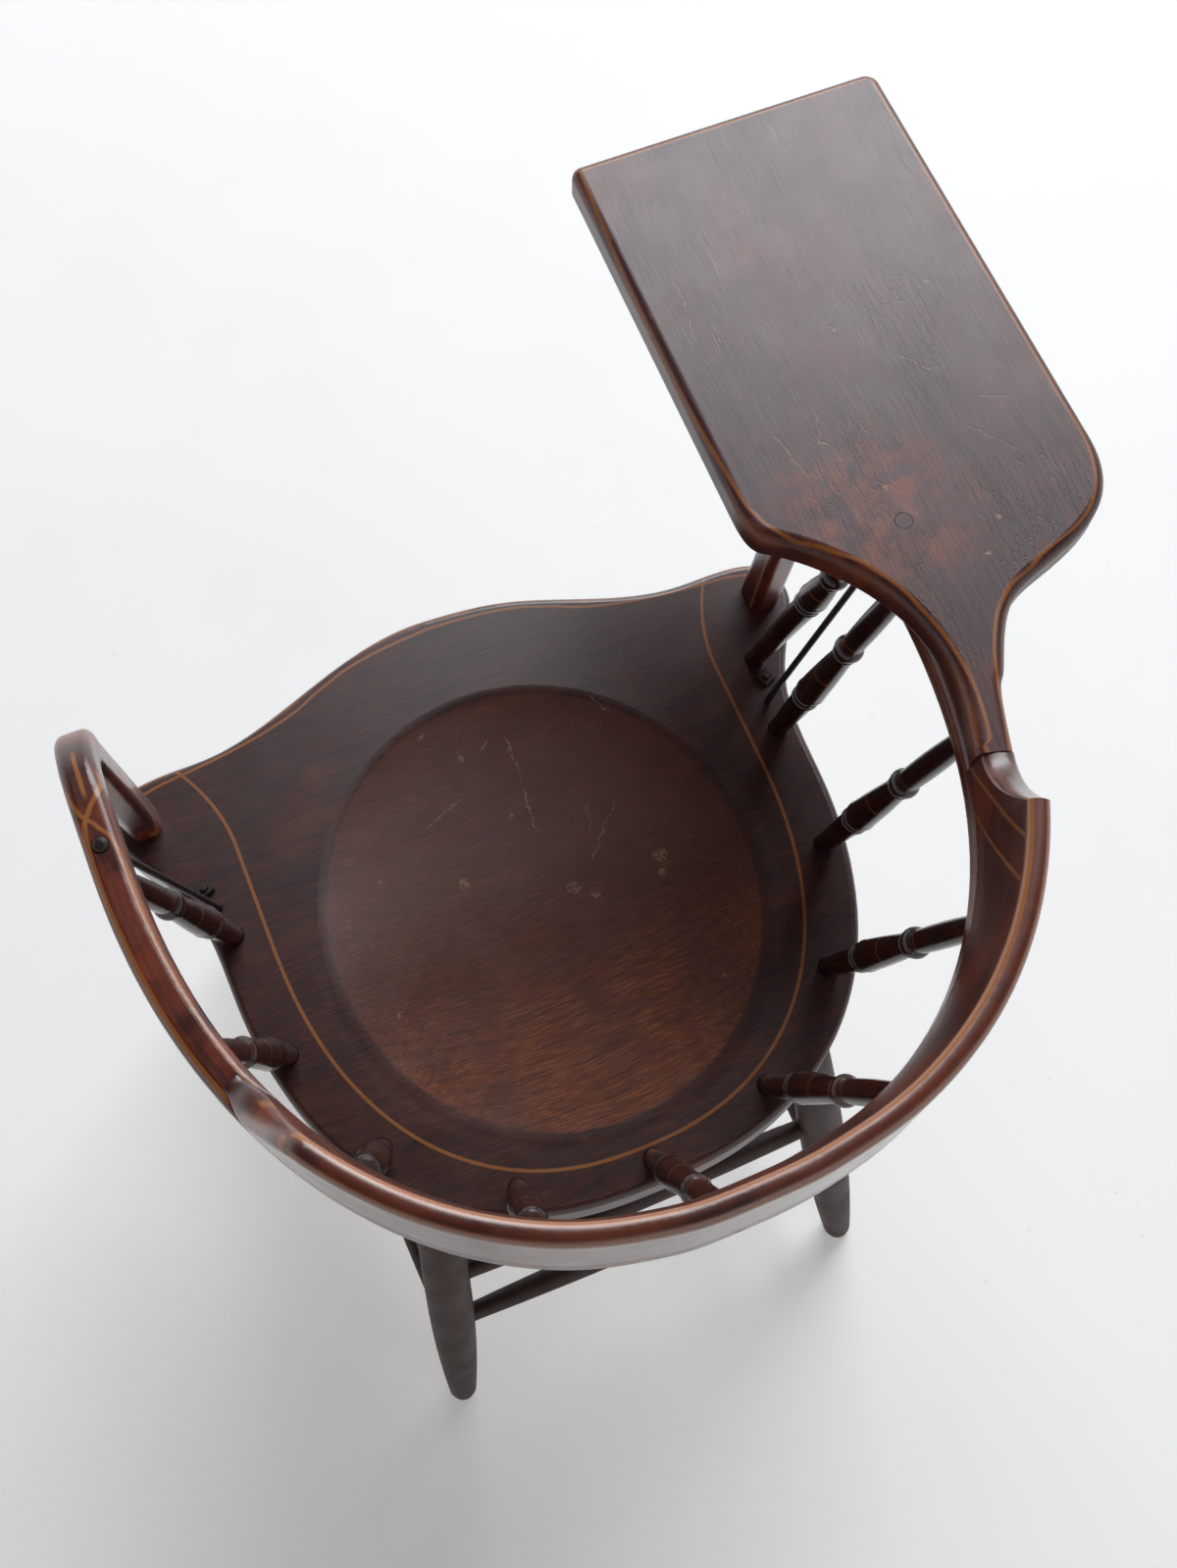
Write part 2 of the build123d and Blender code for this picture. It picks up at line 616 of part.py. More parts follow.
def screw_bore(side, deg):
    """Counterbored hole up through the bow."""
    hole = Cylinder(SCREW_R + FIT, BOW_T + SCREW_BITE + END_GAP, align=STAND)
    hole += Cylinder(SCREW_HEAD_R + FIT, 2 * (SCREW_SINK + SCREW_HEAD_H))
    return Pos(bow_point(side, deg, BOW_BOTTOM)) * hole


def screw(side, deg):
    """Slotted screw whose head bears on the bottom of its counterbore."""
    width, depth = SCREW_SLOT
    head = Cylinder(SCREW_HEAD_R, SCREW_HEAD_H, align=STAND)
    head -= Box(width, 2 * PAST, 2 * depth)
    shank = Cylinder(SCREW_R, BOW_T + SCREW_BITE - SCREW_SINK - depth, align=STAND)
    body = Pos(0, 0, SCREW_SINK) * (head + Pos(0, 0, depth) * shank)
    return Pos(bow_point(side, deg, BOW_BOTTOM)) * body


def build():
    parts = {
        "seat": seat(),
        "arm_bow": arm_bow(),
        "crest": crest(),
        "writing_board": writing_board(),
        "board_plug": board_plug(),
    }
    for i, (foot, head) in enumerate(spindle_lines(), 1):
        parts["spindle_%d" % i] = along(foot, head, spindle((head - foot).length, SPINDLE_RINGS))
    foot, head = support_line()
    parts["support_spindle"] = along(foot, head, spindle((head - foot).length, SUPPORT_RINGS))
    for end in LEG_FEET:
        for side, name in ((LEFT, "left"), (RIGHT, "right")):
            parts["leg_%s_%s" % (end, name)] = leg(end, side)
    for name, (start, stop) in stretcher_lines().items():
        parts["stretcher_" + name] = stretcher(start, stop)
    parts["tie_rod_left"] = tie_rod(LEFT)
    parts["tie_rod_right"] = tie_rod(RIGHT)
    parts["tie_rod_washers"] = Compound(children=tie_rod_washers())
    parts["tie_rod_nuts"] = Compound(children=tie_rod_nuts())
    parts["seat_bolts"] = Compound(children=seat_bolts())
    parts["seat_bolt_nuts"] = Compound(children=seat_bolt_nuts())
    parts["crest_screws"] = Compound(children=[screw(*place) for place in CREST_SCREWS])
    parts["board_screws"] = Compound(children=[screw(*place) for place in BOARD_SCREWS])
    return parts


os.makedirs("parts", exist_ok=True)
for node, solid in build().items():
    export_step(solid, "parts/" + node + ".step")
    print(node, round(solid.volume), len(solid.solids()))
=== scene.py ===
# %% [markdown]
# # A writing-arm Windsor chair
# This is a low-backed armchair of turned spindles. A bent bow makes both arms and the back, a
# raised crest stands on the back of the bow, and a broad paddle-shaped board for writing lies on
# the sitter's right arm. The wood is stained a dark mahogany and varnished, and a thin ochre line
# is painted round the seat, the board, the arms and the crest.
#
# The shapes come ready made from the CAD model, so most of this lesson is about finishes: grain
# that follows each piece, painted lines that follow its edges, wear, scratches, iron and light.

import math

import bpy
import numpy as np
from mathutils import Matrix, Vector


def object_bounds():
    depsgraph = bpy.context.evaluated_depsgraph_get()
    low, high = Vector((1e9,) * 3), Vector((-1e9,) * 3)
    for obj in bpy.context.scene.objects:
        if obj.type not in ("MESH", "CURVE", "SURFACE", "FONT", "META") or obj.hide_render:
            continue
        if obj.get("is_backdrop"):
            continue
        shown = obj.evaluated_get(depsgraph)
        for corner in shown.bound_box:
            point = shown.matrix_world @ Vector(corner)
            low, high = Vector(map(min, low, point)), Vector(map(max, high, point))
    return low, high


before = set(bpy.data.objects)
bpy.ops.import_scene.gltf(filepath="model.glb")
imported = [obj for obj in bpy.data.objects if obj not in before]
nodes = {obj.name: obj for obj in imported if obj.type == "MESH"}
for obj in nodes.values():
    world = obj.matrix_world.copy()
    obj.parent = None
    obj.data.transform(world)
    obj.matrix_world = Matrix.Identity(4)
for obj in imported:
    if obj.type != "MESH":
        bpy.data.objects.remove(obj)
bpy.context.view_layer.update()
print("pieces in the frame:", len(nodes))

# %% [markdown]
# ## The camera
# The chair is seen from high behind the sitter's left shoulder, so the camera looks steeply down.
# A camera could be aimed with a Track To constraint, but it is also rolled a little, and three
# plain angles keep that: the turn round the chair, the height above the horizon, and the roll.

# %% Camera
CAMERA_PLACE = (0.13958, 0.3803, 1.64231)
CAMERA_TURN = math.radians(154.64)
CAMERA_HEIGHT = math.radians(68.59)
CAMERA_ROLL = math.radians(2.91)
CAMERA_LENS = 41.65
CAMERA_SENSOR = 36.0

camera_data = bpy.data.cameras.new("camera")
camera_data.lens = CAMERA_LENS
camera_data.sensor_width = CAMERA_SENSOR
camera = bpy.data.objects.new("camera", camera_data)
bpy.context.scene.collection.objects.link(camera)
bpy.context.scene.camera = camera

level = math.cos(CAMERA_HEIGHT)
back = Vector((math.sin(CAMERA_TURN) * level, -math.cos(CAMERA_TURN) * level, math.sin(CAMERA_HEIGHT)))
across = Vector((0, 0, 1)).cross(back).normalized()
upward = back.cross(across)
rolled_x = across * math.cos(CAMERA_ROLL) + upward * math.sin(CAMERA_ROLL)
rolled_y = upward * math.cos(CAMERA_ROLL) - across * math.sin(CAMERA_ROLL)
camera.rotation_mode = "QUATERNION"
camera.rotation_quaternion = Matrix((rolled_x, rolled_y, back)).transposed().to_quaternion()
camera.location = CAMERA_PLACE
print("camera at", tuple(round(v, 3) for v in camera.location))


# %% [markdown]
# ## Short ways to lay out nodes
# Every finish below is a net of nodes. Adding and joining them one by one takes a line for each
# wire, so this small helper adds a node, fills its sockets with numbers or with other nodes'
# outputs, and hands back the output. All positions are turned into millimetres first, because
# wood is easier to think about in millimetres than in parts of a metre.

# %% Node helper
def tone(red, green, blue):
    """A colour as it looks on a screen, 0 to 255, turned into the numbers that light uses."""
    light = []
    for part in (red, green, blue):
        share = part / 255
        light.append(share / 12.92 if share < 0.04045 else ((share + 0.055) / 1.055) ** 2.4)
    return (*light, 1.0)


class Net:
    """One material's node tree, with short ways to add nodes to it."""

    def __init__(self, tree):
        self.tree = tree

    def add(self, kind, sockets=None, **settings):
        node = self.tree.nodes.new(kind)
        for name, value in settings.items():
            setattr(node, name, value)
        for name, value in (sockets or {}).items():
            self.fill(node.inputs[name], value)
        return node

    def fill(self, socket, value):
        if isinstance(value, bpy.types.NodeSocket):
            self.tree.links.new(value, socket)
        else:
            socket.default_value = value

    def maths(self, operation, a, b=0.0, c=0.0, clamp=False):
        node = self.add("ShaderNodeMath", {0: a, 1: b, 2: c}, operation=operation, use_clamp=clamp)
        return node.outputs[0]

    def chain(self, operation, values):
        total = values[0]
        for value in values[1:]:
            total = self.maths(operation, total, value)
        return total

    def times(self, *values):
        return self.chain("MULTIPLY", values)

    def plus(self, *values):
        return self.chain("ADD", values)

    def most(self, *values):
        return self.chain("MAXIMUM", values)

    def minus(self, a, b):
        return self.maths("SUBTRACT", a, b)

    def divide(self, a, b):
        return self.maths("DIVIDE", a, b)

    def times_plus(self, a, b, c):
        return self.maths("MULTIPLY_ADD", a, b, c)

    def absolute(self, a):
        return self.maths("ABSOLUTE", a)

    def reach(self, a, b):
        """The long side of a right triangle whose short sides are a and b."""
        return self.maths("SQRT", self.times_plus(a, a, self.times(b, b)))

    def join(self, x, y, z):
        return self.add("ShaderNodeCombineXYZ", {0: x, 1: y, 2: z}).outputs[0]

    def split(self, vector):
        node = self.add("ShaderNodeSeparateXYZ", {0: vector})
        return node.outputs[0], node.outputs[1], node.outputs[2]

    def vector(self, operation, a, b, output=0):
        return self.add("ShaderNodeVectorMath", {0: a, 1: b}, operation=operation).outputs[output]

    def place(self):
        """Position on the piece, in millimetres."""
        where = self.add("ShaderNodeTexCoord").outputs["Object"]
        return self.vector("MULTIPLY", where, (1000, 1000, 1000))

    def noise(self, where, scale=1.0, detail=2.0, rough=0.5, distort=0.0, output="Fac"):
        sockets = {"Vector": where, "Scale": scale, "Detail": detail}
        sockets.update({"Roughness": rough, "Distortion": distort})
        return self.add("ShaderNodeTexNoise", sockets).outputs[output]

    def ease(self, value, low, high, first=0.0, last=1.0):
        """Smooth step from first to last as the value goes from low to high."""
        sockets = {"Value": value, "From Min": low, "From Max": high, "To Min": first, "To Max": last}
        return self.add("ShaderNodeMapRange", sockets, interpolation_type="SMOOTHSTEP").outputs[0]

    def blend(self, share, a, b):
        node = self.add("ShaderNodeMix", data_type="RGBA", blend_type="MIX", clamp_factor=True)
        for socket, value in zip((0, 6, 7), (share, a, b)):
            self.fill(node.inputs[socket], value)
        return node.outputs[2]

    def bend(self, lead, points):
        """A value read off a smooth curve through given (lead, value) points."""
        leads = [p[0] for p in points]
        values = [p[1] for p in points]
        low, high, least, most = min(leads), max(leads), min(values), max(values)
        share = self.add("ShaderNodeMapRange", {"Value": lead, "From Min": low, "From Max": high}).outputs[0]
        node = self.add("ShaderNodeFloatCurve", {"Value": share})
        curve = node.mapping.curves[0]
        spots = sorted(((x - low) / (high - low), (v - least) / (most - least)) for x, v in points)
        for spot in spots[1:-1]:
            curve.points.new(*spot)
        curve.points[0].location = spots[0]
        curve.points[-1].location = spots[-1]
        node.mapping.update()
        return self.times_plus(node.outputs[0], most - least, least)

    def seen(self):
        """1 for rays from the camera, and for those that come by a reflection or through glass."""
        path = self.add("ShaderNodeLightPath").outputs
        return self.most(path["Is Camera Ray"], path["Is Glossy Ray"], path["Is Transmission Ray"])


# %% [markdown]
# A finish is one material with an empty net. The CAD pieces keep their shapes and their places,
# so a finish goes on by putting it in a piece's material slots.

# %% Finishes on and off
def new_finish(name):
    finish = bpy.data.materials.new(name)
    finish.use_nodes = True
    finish.node_tree.nodes.clear()
    return finish, Net(finish.node_tree)


def put_on(finish, *names):
    """Gives a finish to CAD pieces by name."""
    for name in names:
        for slot in nodes[name].material_slots:
            slot.material = finish


# %% [markdown]
# ## The floor
# The chair stands on a pale painted floor. White paint alone would look grey under plain light,
# so the floor also glows a little, but only to the camera and in reflections: it throws no extra
# light on the chair and keeps the chair's shadow. The glow grows with distance, so that the far
# floor runs into the white sky with no edge between them.

# %% Floor
FLOOR_NEAR = tone(244, 244, 243)
FLOOR_FAR_SHADED = tone(238, 235, 231)
FLOOR_DAPPLE = tone(236, 235, 232)
FLOOR_SCUFF = tone(205, 203, 198)
FLOOR_SPECK = tone(168, 163, 156)
FLOOR_SIZE = 80.0
FLOOR_GLOW = 0.31        # how much paler the floor looks than the light alone would make it
FLOOR_GLOW_FAR = 0.95    # the same beyond the second of the next two distances, in millimetres
GLOW_STARTS, GLOW_FULL = 2200.0, 6500.0

bpy.ops.object.select_all(action="DESELECT")
bpy.ops.mesh.primitive_plane_add(size=FLOOR_SIZE, location=(0, 0, 0))
floor = bpy.context.object
floor.name = "floor"
paint, net = new_finish("pale_floor_paint")
spot = net.place()
x, y, _ = net.split(spot)
# Painted shade: the floor's colour turns a little darker and warmer away from the window, toward the chair's
# left and back.
painted_falloff = net.ease(net.plus(net.times(x, 0.8), net.times(y, 0.6)), -200.0, 900.0)
colour = net.blend(painted_falloff, FLOOR_NEAR, FLOOR_FAR_SHADED)
dapple = net.ease(net.noise(spot, 0.004, 4.0, 0.6), 0.35, 0.75, 0.0, 0.25)
colour = net.blend(dapple, colour, FLOOR_DAPPLE)
scuff = net.ease(net.noise(spot, 0.05, 6.0, 0.75), 0.66, 0.78, 0.0, 0.5)
colour = net.blend(scuff, colour, FLOOR_SCUFF)
specks = net.ease(net.noise(spot, 0.16, 3.0, 0.6), 0.70, 0.76, 0.0, 0.55)
colour = net.blend(specks, colour, FLOOR_SPECK)
sockets = {"Base Color": colour, "Roughness": 0.8, "Specular IOR Level": 0.1}
shader = net.add("ShaderNodeBsdfPrincipled", sockets)
distance = net.add("ShaderNodeVectorMath", {0: spot}, operation="LENGTH").outputs["Value"]
pale = net.ease(distance, GLOW_STARTS, GLOW_FULL, FLOOR_GLOW, FLOOR_GLOW_FAR)
glow = net.add("ShaderNodeEmission", {"Color": colour, "Strength": net.times(net.seen(), pale)})
both = net.add("ShaderNodeAddShader", {0: shader.outputs[0], 1: glow.outputs[0]})
net.add("ShaderNodeOutputMaterial", {"Surface": both.outputs[0]})
floor.data.materials.append(paint)
floor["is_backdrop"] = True
print("floor laid,", round(floor.dimensions.x, 1), "m across")

# %% [markdown]
# ## The sky
# The sky is what the varnish reflects where no lamp is, so it is white low down, as the pale walls
# of a room are, and dark overhead. A plain grey world would be simpler, but it would lay the same
# milky veil on every surface. Rays from the camera and from reflections see it at full strength,
# and it lights the chair more softly than that.

# %% Sky
SKY_LOW = (1.0, 1.0, 1.0, 1.0)
SKY_HIGH = (0.07, 0.07, 0.08, 1.0)
SKY_LIGHT = 0.44         # how strongly the sky lights the chair, against how bright it looks

world = bpy.data.worlds.new("studio")
world.use_nodes = True
world.node_tree.nodes.clear()
bpy.context.scene.world = world
net = Net(world.node_tree)
toward = net.add("ShaderNodeTexCoord").outputs["Generated"]
sky = net.blend(net.ease(net.split(toward)[2], 0.10, 0.60), SKY_LOW, SKY_HIGH)
strength = net.times_plus(net.seen(), 1.0 - SKY_LIGHT, SKY_LIGHT)
lit = net.add("ShaderNodeBackground", {"Color": sky, "Strength": strength})
net.add("ShaderNodeOutputWorld", {"Surface": lit.outputs[0]})
print("sky lights at", SKY_LIGHT, "of what it shows")


# %% [markdown]
# ## Two soft boxes
# A tall window stands in front of the sitter and to their right. It could be a sun lamp, but
# varnish shows what it reflects, and a sun is a point. One large rectangular lamp gives the long
# pale sheen on the board and the front of the seat, and soft shadows behind. A second, much weaker
# one stands for a pale wall behind the chair and gives the outer face of the crest its faint
# sheen. A lamp's energy spreads over its face, so the helper works it out from the brightness.

# %% Soft boxes
def soft_box(name, place, target, size, brightness, colour):
    """A rectangular lamp that faces the target; brightness is that of its face, white being 1."""
    lamp = bpy.data.lights.new(name, "AREA")
    lamp.shape = "RECTANGLE"
    lamp.size, lamp.size_y = size
    lamp.energy = brightness * math.pi * size[0] * size[1]
    lamp.color = colour
    box = bpy.data.objects.new(name, lamp)
    bpy.context.scene.collection.objects.link(box)
    box.location = place
    box.rotation_mode = "QUATERNION"
    box.rotation_quaternion = (Vector(target) - Vector(place)).to_track_quat("-Z", "Y")
    box.visible_camera = False
    return box


COOL_DAYLIGHT = (0.93, 0.96, 1.0)
WALL_WHITE = (1.0, 0.99, 0.97)
window = soft_box("window", (-2.80, -3.75, 4.60), (-0.1, -0.1, 0.6), (4.6, 3.6), 7.0, COOL_DAYLIGHT)
wall = soft_box("pale_wall", (-0.90, 3.60, 2.80), (0.0, 0.3, 0.4), (4.0, 2.4), 0.75, WALL_WHITE)
print("window light at", tuple(round(v, 2) for v in window.location))
print("pale wall at", tuple(round(v, 2) for v in wall.location))

# %% [markdown]
# ## Heights from the model
# Painted lines lie a few millimetres from a top or an edge, so the tops of the pieces are
# measured first, and each finish counts down from the top of its own piece.

# %% Heights
def top_of(name):
    """Height of a piece's highest point in millimetres, to a tenth."""
    return round(max(vertex.co.z for vertex in nodes[name].data.vertices) * 1000, 1)


SEAT_TOP = top_of("seat")
ARM_TOP = top_of("arm_bow")
BOARD_TOP = top_of("writing_board")
CREST_TOP = top_of("crest")
print("tops of seat, arms, board and crest:", SEAT_TOP, ARM_TOP, BOARD_TOP, CREST_TOP)

# %% [markdown]
# ## Measures round an oval
# A painted line on a bent piece follows the bend. The bow, the seat and the line on the seat are
# all drawn from the same kind of oval, a superellipse with its widest line a little in front of
# the origin and straight sides ahead of that. So a finish can work out, from a point's position
# alone, how far out from the oval it lies and how far along it has come, and paint by those two.

# %% Round an oval
WIDEST_Y = -20.0
TURN_RADIUS = 280.0      # turns an angle round the oval into a rough length along it
BOW_DEPTH = 308.0
BOW_HALF_RIGHT, BOW_HALF_LEFT = 252.0, 244.0
BOW_FULL_RIGHT, BOW_FULL_LEFT = 2.4, 2.15
BOW_HALF_THICK = 11.0


def off_oval(net, x, y, half, depth, fullness):
    """How far outside an oval a point lies, and how far round it has come, in millimetres."""
    side = net.absolute(x)
    rise = net.most(net.minus(y, WIDEST_Y), 0.0)
    u = net.maths("POWER", net.divide(side, half), fullness)
    v = net.maths("POWER", net.divide(rise, depth), fullness)
    size = net.maths("POWER", net.plus(u, v), net.divide(1.0, fullness))
    out = net.times(net.reach(side, rise), net.minus(1.0, net.divide(1.0, size)))
    turn = net.times(net.maths("ARCTAN2", rise, side), TURN_RADIUS)
    along = net.plus(turn, net.maths("MINIMUM", net.minus(y, WIDEST_Y), 0.0))
    return out, along


def on_bow(net, where):
    """Out from the bow's middle line, along it, and 1 on the sitter's left. It is fuller on the right."""
    x, y, _ = net.split(where)
    left = net.maths("GREATER_THAN", x, 0.0)
    half = net.times_plus(left, BOW_HALF_LEFT - BOW_HALF_RIGHT, BOW_HALF_RIGHT)
    fullness = net.times_plus(left, BOW_FULL_LEFT - BOW_FULL_RIGHT, BOW_FULL_RIGHT)
    out, along = off_oval(net, x, y, half, BOW_DEPTH, fullness)
    return out, along, left


# %% [markdown]
# ## Measures beside a drawn curve
# The edges of the board and the seat's front aren't ovals, so their lines are read off a curve
# drawn through a few given points. A line at an even height above a sloping curve looks thin,
# so the distance is divided by the slope's length, which keeps the painted line's width even.

# %% Beside a curve
SLOPE_STEP = 2.0


def off_curve(net, lead, value, points):
    """How far beyond a curve through given points a point lies, square to the curve."""
    here = net.bend(lead, points)
    ahead = net.bend(net.plus(lead, SLOPE_STEP), points)
    slope = net.divide(net.minus(ahead, here), SLOPE_STEP)
    length = net.maths("SQRT", net.times_plus(slope, slope, 1.0))
    return net.divide(net.minus(value, here), length)


def line(net, distance, half_width, soft=0.5):
    """1 on a painted line whose middle is where the distance is 0."""
    return net.ease(net.absolute(distance), half_width - soft, half_width + soft, 1.0, 0.0)


# %% [markdown]
# ## Scratches and nicks
# Old varnish carries a few deep scratches and dents that anyone would notice, and hundreds of
# hair scratches that nobody would. The few are placed one by one. The many are noise that is
# stretched in one direction, so each layer of it runs one way, as rubbing does.

# %% Scratches and nicks
HAIR_LONG, HAIR_WIDE = 24.0, 1.1
HAIR_RARE, HAIR_RARER = 0.64, 0.70      # a higher number leaves fewer of them


def turned_to(net, x, y, c, s):
    """Distance down a direction and across it; c and s are the direction's cosine and sine."""
    down = net.times_plus(x, c, net.times(y, s))
    side = net.times_plus(x, -s, net.times(y, c))
    return down, side


def segment(net, x, y, start, end, half_width):
    """1 on a straight scratch between two points, fading to its ends."""
    run = (end[0] - start[0], end[1] - start[1])
    length = math.hypot(*run)
    dx = net.minus(x, (start[0] + end[0]) / 2)
    dy = net.minus(y, (start[1] + end[1]) / 2)
    down, side = turned_to(net, dx, dy, run[0] / length, run[1] / length)
    body = net.ease(net.absolute(down), length * 0.25, length * 0.5, 1.0, 0.0)
    return net.times(body, line(net, side, half_width, half_width * 0.8))


def dot(net, x, y, place, radius):
    """1 on a small round mark."""
    away = net.reach(net.minus(x, place[0]), net.minus(y, place[1]))
    return net.ease(away, radius * 0.5, radius, 1.0, 0.0)


def knocks(net, x, y, scratches, nicks, depth):
    """All the placed marks of a piece; depth is how deep its scratches are against its nicks."""
    marks = 0.0
    for start, end, half_width in scratches:
        marks = net.most(marks, net.times(segment(net, x, y, start, end, half_width), depth))
    for nick_x, nick_y, radius in nicks:
        marks = net.most(marks, dot(net, x, y, (nick_x, nick_y), radius))
    return marks


def scuffs(net, x, y, turn, layer, rare):
    """Hair scratches that all run one way; each layer has its own."""
    down, side = turned_to(net, x, y, math.cos(turn), math.sin(turn))
    where = net.join(net.divide(down, HAIR_LONG), net.divide(side, HAIR_WIDE), layer)
    return net.ease(net.noise(where, 1.0, 2.0, 0.5, 0.6), rare, rare + 0.06)


def hairlines(net, where, x, y, main, others, faint, patch):
    """The main hair scratches with fainter ones across them, and patches that have hardly any."""
    hair = main
    for turn, layer in others:
        hair = net.most(hair, net.times(scuffs(net, x, y, turn, layer, HAIR_RARER), faint))
    return net.times(hair, net.ease(net.noise(where, patch, 3.0), 0.42, 0.62, 0.1, 0.9))


# %% [markdown]
# ## Stained wood under old varnish
# The real finish is built up in the same order: bare wood with its streaks and pores, a dark
# stain that sinks into it unevenly, painted lines, and varnish over all of it, rubbed thin where
# hands and backs have worn it. A wood texture from a picture would be quicker, but it would not
# turn with the grain of each piece. Here the streaks are noise that is stretched along the
# grain, so a finish only has to say which way its piece's grain runs.

# %% Wood and stain
OCHRE = tone(186, 112, 44)
OCHRE_DULL = tone(140, 84, 44)
BARE = tone(150, 92, 52)
BLACK = (0, 0, 0, 1)


def grain(net, along, over, through, long, wide):
    """Streaks with finer ones inside them, and dark fibres, stretched along the grain, from 0 to 1."""
    def stretched(times_long, times_wide, detail):
        run = net.divide(along, long * times_long)
        sideways = [net.divide(way, wide * times_wide) for way in (over, through)]
        return net.noise(net.join(run, *sideways), 1.0, detail, 0.6, 0.3)

    fine = stretched(1.0, 1.0, 4.0)
    broad = stretched(3.0, 5.0, 3.0)
    streaks = net.times_plus(fine, 0.55, net.times(broad, 0.45))
    return streaks, stretched(0.35, 0.4, 3.0)


def stained(net, where, streaks, fibres, dark, mid, warm, warmth=None):
    """Stained wood's colour; warmth is where the stain has worn thin and the red wood shows."""
    colour = net.blend(net.ease(streaks, 0.38, 0.62), dark, mid)
    thin = net.ease(net.noise(where, 0.014, 5.0, 0.65), 0.45, 0.75, 0.0, 0.3)
    if warmth is not None:
        thin = net.maths("ADD", thin, warmth, clamp=True)
    colour = net.blend(net.times(thin, net.ease(streaks, 0.25, 0.6, 0.35, 1.0)), colour, warm)
    pores = net.ease(fibres, 0.44, 0.32, 0.0, 0.6)
    return net.blend(pores, colour, net.blend(0.5, dark, BLACK))


# %% [markdown]
# Varnish is one shader: the stained colour under it, a second clear coat over it, and the height
# of paint, fibres and scratches as fine relief. Old paint and varnish are never even, so one
# helper breaks paint up into flakes and another lets the gloss wander.

# %% Varnish and wear
RELIEF_DEPTH = 0.001


def varnished(net, colour, rough, height, relief, coat, coat_rough):
    """The shader: varnish gloss over the colour, with the height as fine relief in millimetres."""
    bump = net.add("ShaderNodeBump", {"Height": height, "Strength": relief, "Distance": RELIEF_DEPTH})
    sockets = {"Base Color": colour, "Roughness": rough, "Normal": bump.outputs[0]}
    sockets.update({"Coat Weight": coat, "Coat Roughness": coat_rough})
    shader = net.add("ShaderNodeBsdfPrincipled", sockets)
    net.add("ShaderNodeOutputMaterial", {"Surface": shader.outputs[0]})


def sheen_of(net, fibres, where, low, high):
    """Roughness that wanders with handling and catches in the grain."""
    rough = net.ease(net.noise(where, 0.03, 4.0, 0.6), 0.3, 0.7, low, high)
    return net.plus(rough, net.ease(fibres, 0.42, 0.3, 0.0, 0.08))


def broken(net, where, share, scale=0.25):
    """A patchy number from 0 to 1 that breaks up old paint; a larger share leaves more of it."""
    flakes = net.noise(where, scale, 5.0, 0.7)
    return net.ease(flakes, 0.62 - share * 0.5, 0.72 - share * 0.5)


def ochre_line(net, colour, streaks, painted, strength):
    """Ochre paint where the mask says, duller where the streaks under it are dark."""
    return net.blend(net.times(painted, strength), colour, net.blend(streaks, OCHRE_DULL, OCHRE))


# %% [markdown]
# ## The seat's wood
# The seat is one thick plank with its grain from side to side. It is dished for the sitter, and
# sitters have rubbed the stain off the back of the dish, where the wood's arched growth rings
# show. The rings are a sine wave across the grain, pushed out of line by noise.

# %% Seat wood
SEAT_DARK, SEAT_MID, SEAT_WARM = tone(36, 12, 10), tone(64, 26, 21), tone(116, 54, 28)
DISH_TONE = tone(108, 58, 42)
RING_TONE = tone(34, 18, 14)
FLECK_TONE = tone(156, 88, 46)
DISH_HALF_W, DISH_HALF_D, DISH_Y = 153.0, 165.0, 24.0
ARCH_X, ARCH_HALF = 20.0, 95.0

finish, net = new_finish("seat_stain")
where = net.place()
x, y, z = net.split(where)
over = net.times_plus(net.noise(where, 0.008, 2.0), 22.0, y)
streaks, fibres = grain(net, x, over, z, 60.0, 2.0)
arch = net.maths("POWER", net.divide(net.minus(x, ARCH_X), ARCH_HALF), 2.0)
rings = net.plus(net.divide(over, 1.6), net.times(arch, 9.0))
ring = net.maths("SINE", net.times_plus(net.noise(where, 0.02, 2.0), 7.0, rings))
ring = net.times(net.ease(ring, 0.55, 1.0), net.ease(y, 0.0, 90.0))

dish = net.reach(net.divide(x, DISH_HALF_W), net.divide(net.minus(y, DISH_Y), DISH_HALF_D))
in_dish = net.ease(dish, 0.965, 0.985, 1.0, 0.0)
rubbed = net.times(in_dish, net.ease(y, 30.0, 130.0, 0.05, 0.75))
rubbed = net.times(rubbed, net.ease(net.noise(where, 0.02, 4.0), 0.35, 0.6, 0.3, 1.0))
colour = stained(net, where, streaks, fibres, SEAT_DARK, SEAT_MID, SEAT_WARM, rubbed)
colour = net.blend(net.times(in_dish, 0.34), colour, DISH_TONE)
colour = net.blend(net.times(ring, 0.28), colour, RING_TONE)
flecks = net.times(net.ease(fibres, 0.50, 0.62), net.times_plus(rubbed, 0.75, 0.12))
colour = net.blend(flecks, colour, FLECK_TONE)

# %% [markdown]
# A painted line runs round the seat, and flares out to meet what is left of another one along
# the front edge. That edge is also knocked bare in places.

# %% Seat lines
SEAT_LINE_HALF, SEAT_LINE_DEPTH, SEAT_LINE_FULLNESS = 184.0, 226.0, 2.3
FLARE_Y, FLARE_RUN, FLARE_OUT = -95.0, 70.0, 21.0
FRONT_LINE_IN = 8.5
SEAT_FRONT = ((0.0, -212.0), (57.0, -206.0), (91.0, -195.5), (119.0, -184.0), (158.0, -175.0),
              (189.0, -171.0), (226.0, -167.0), (247.0, -160.0), (262.0, -150.0))

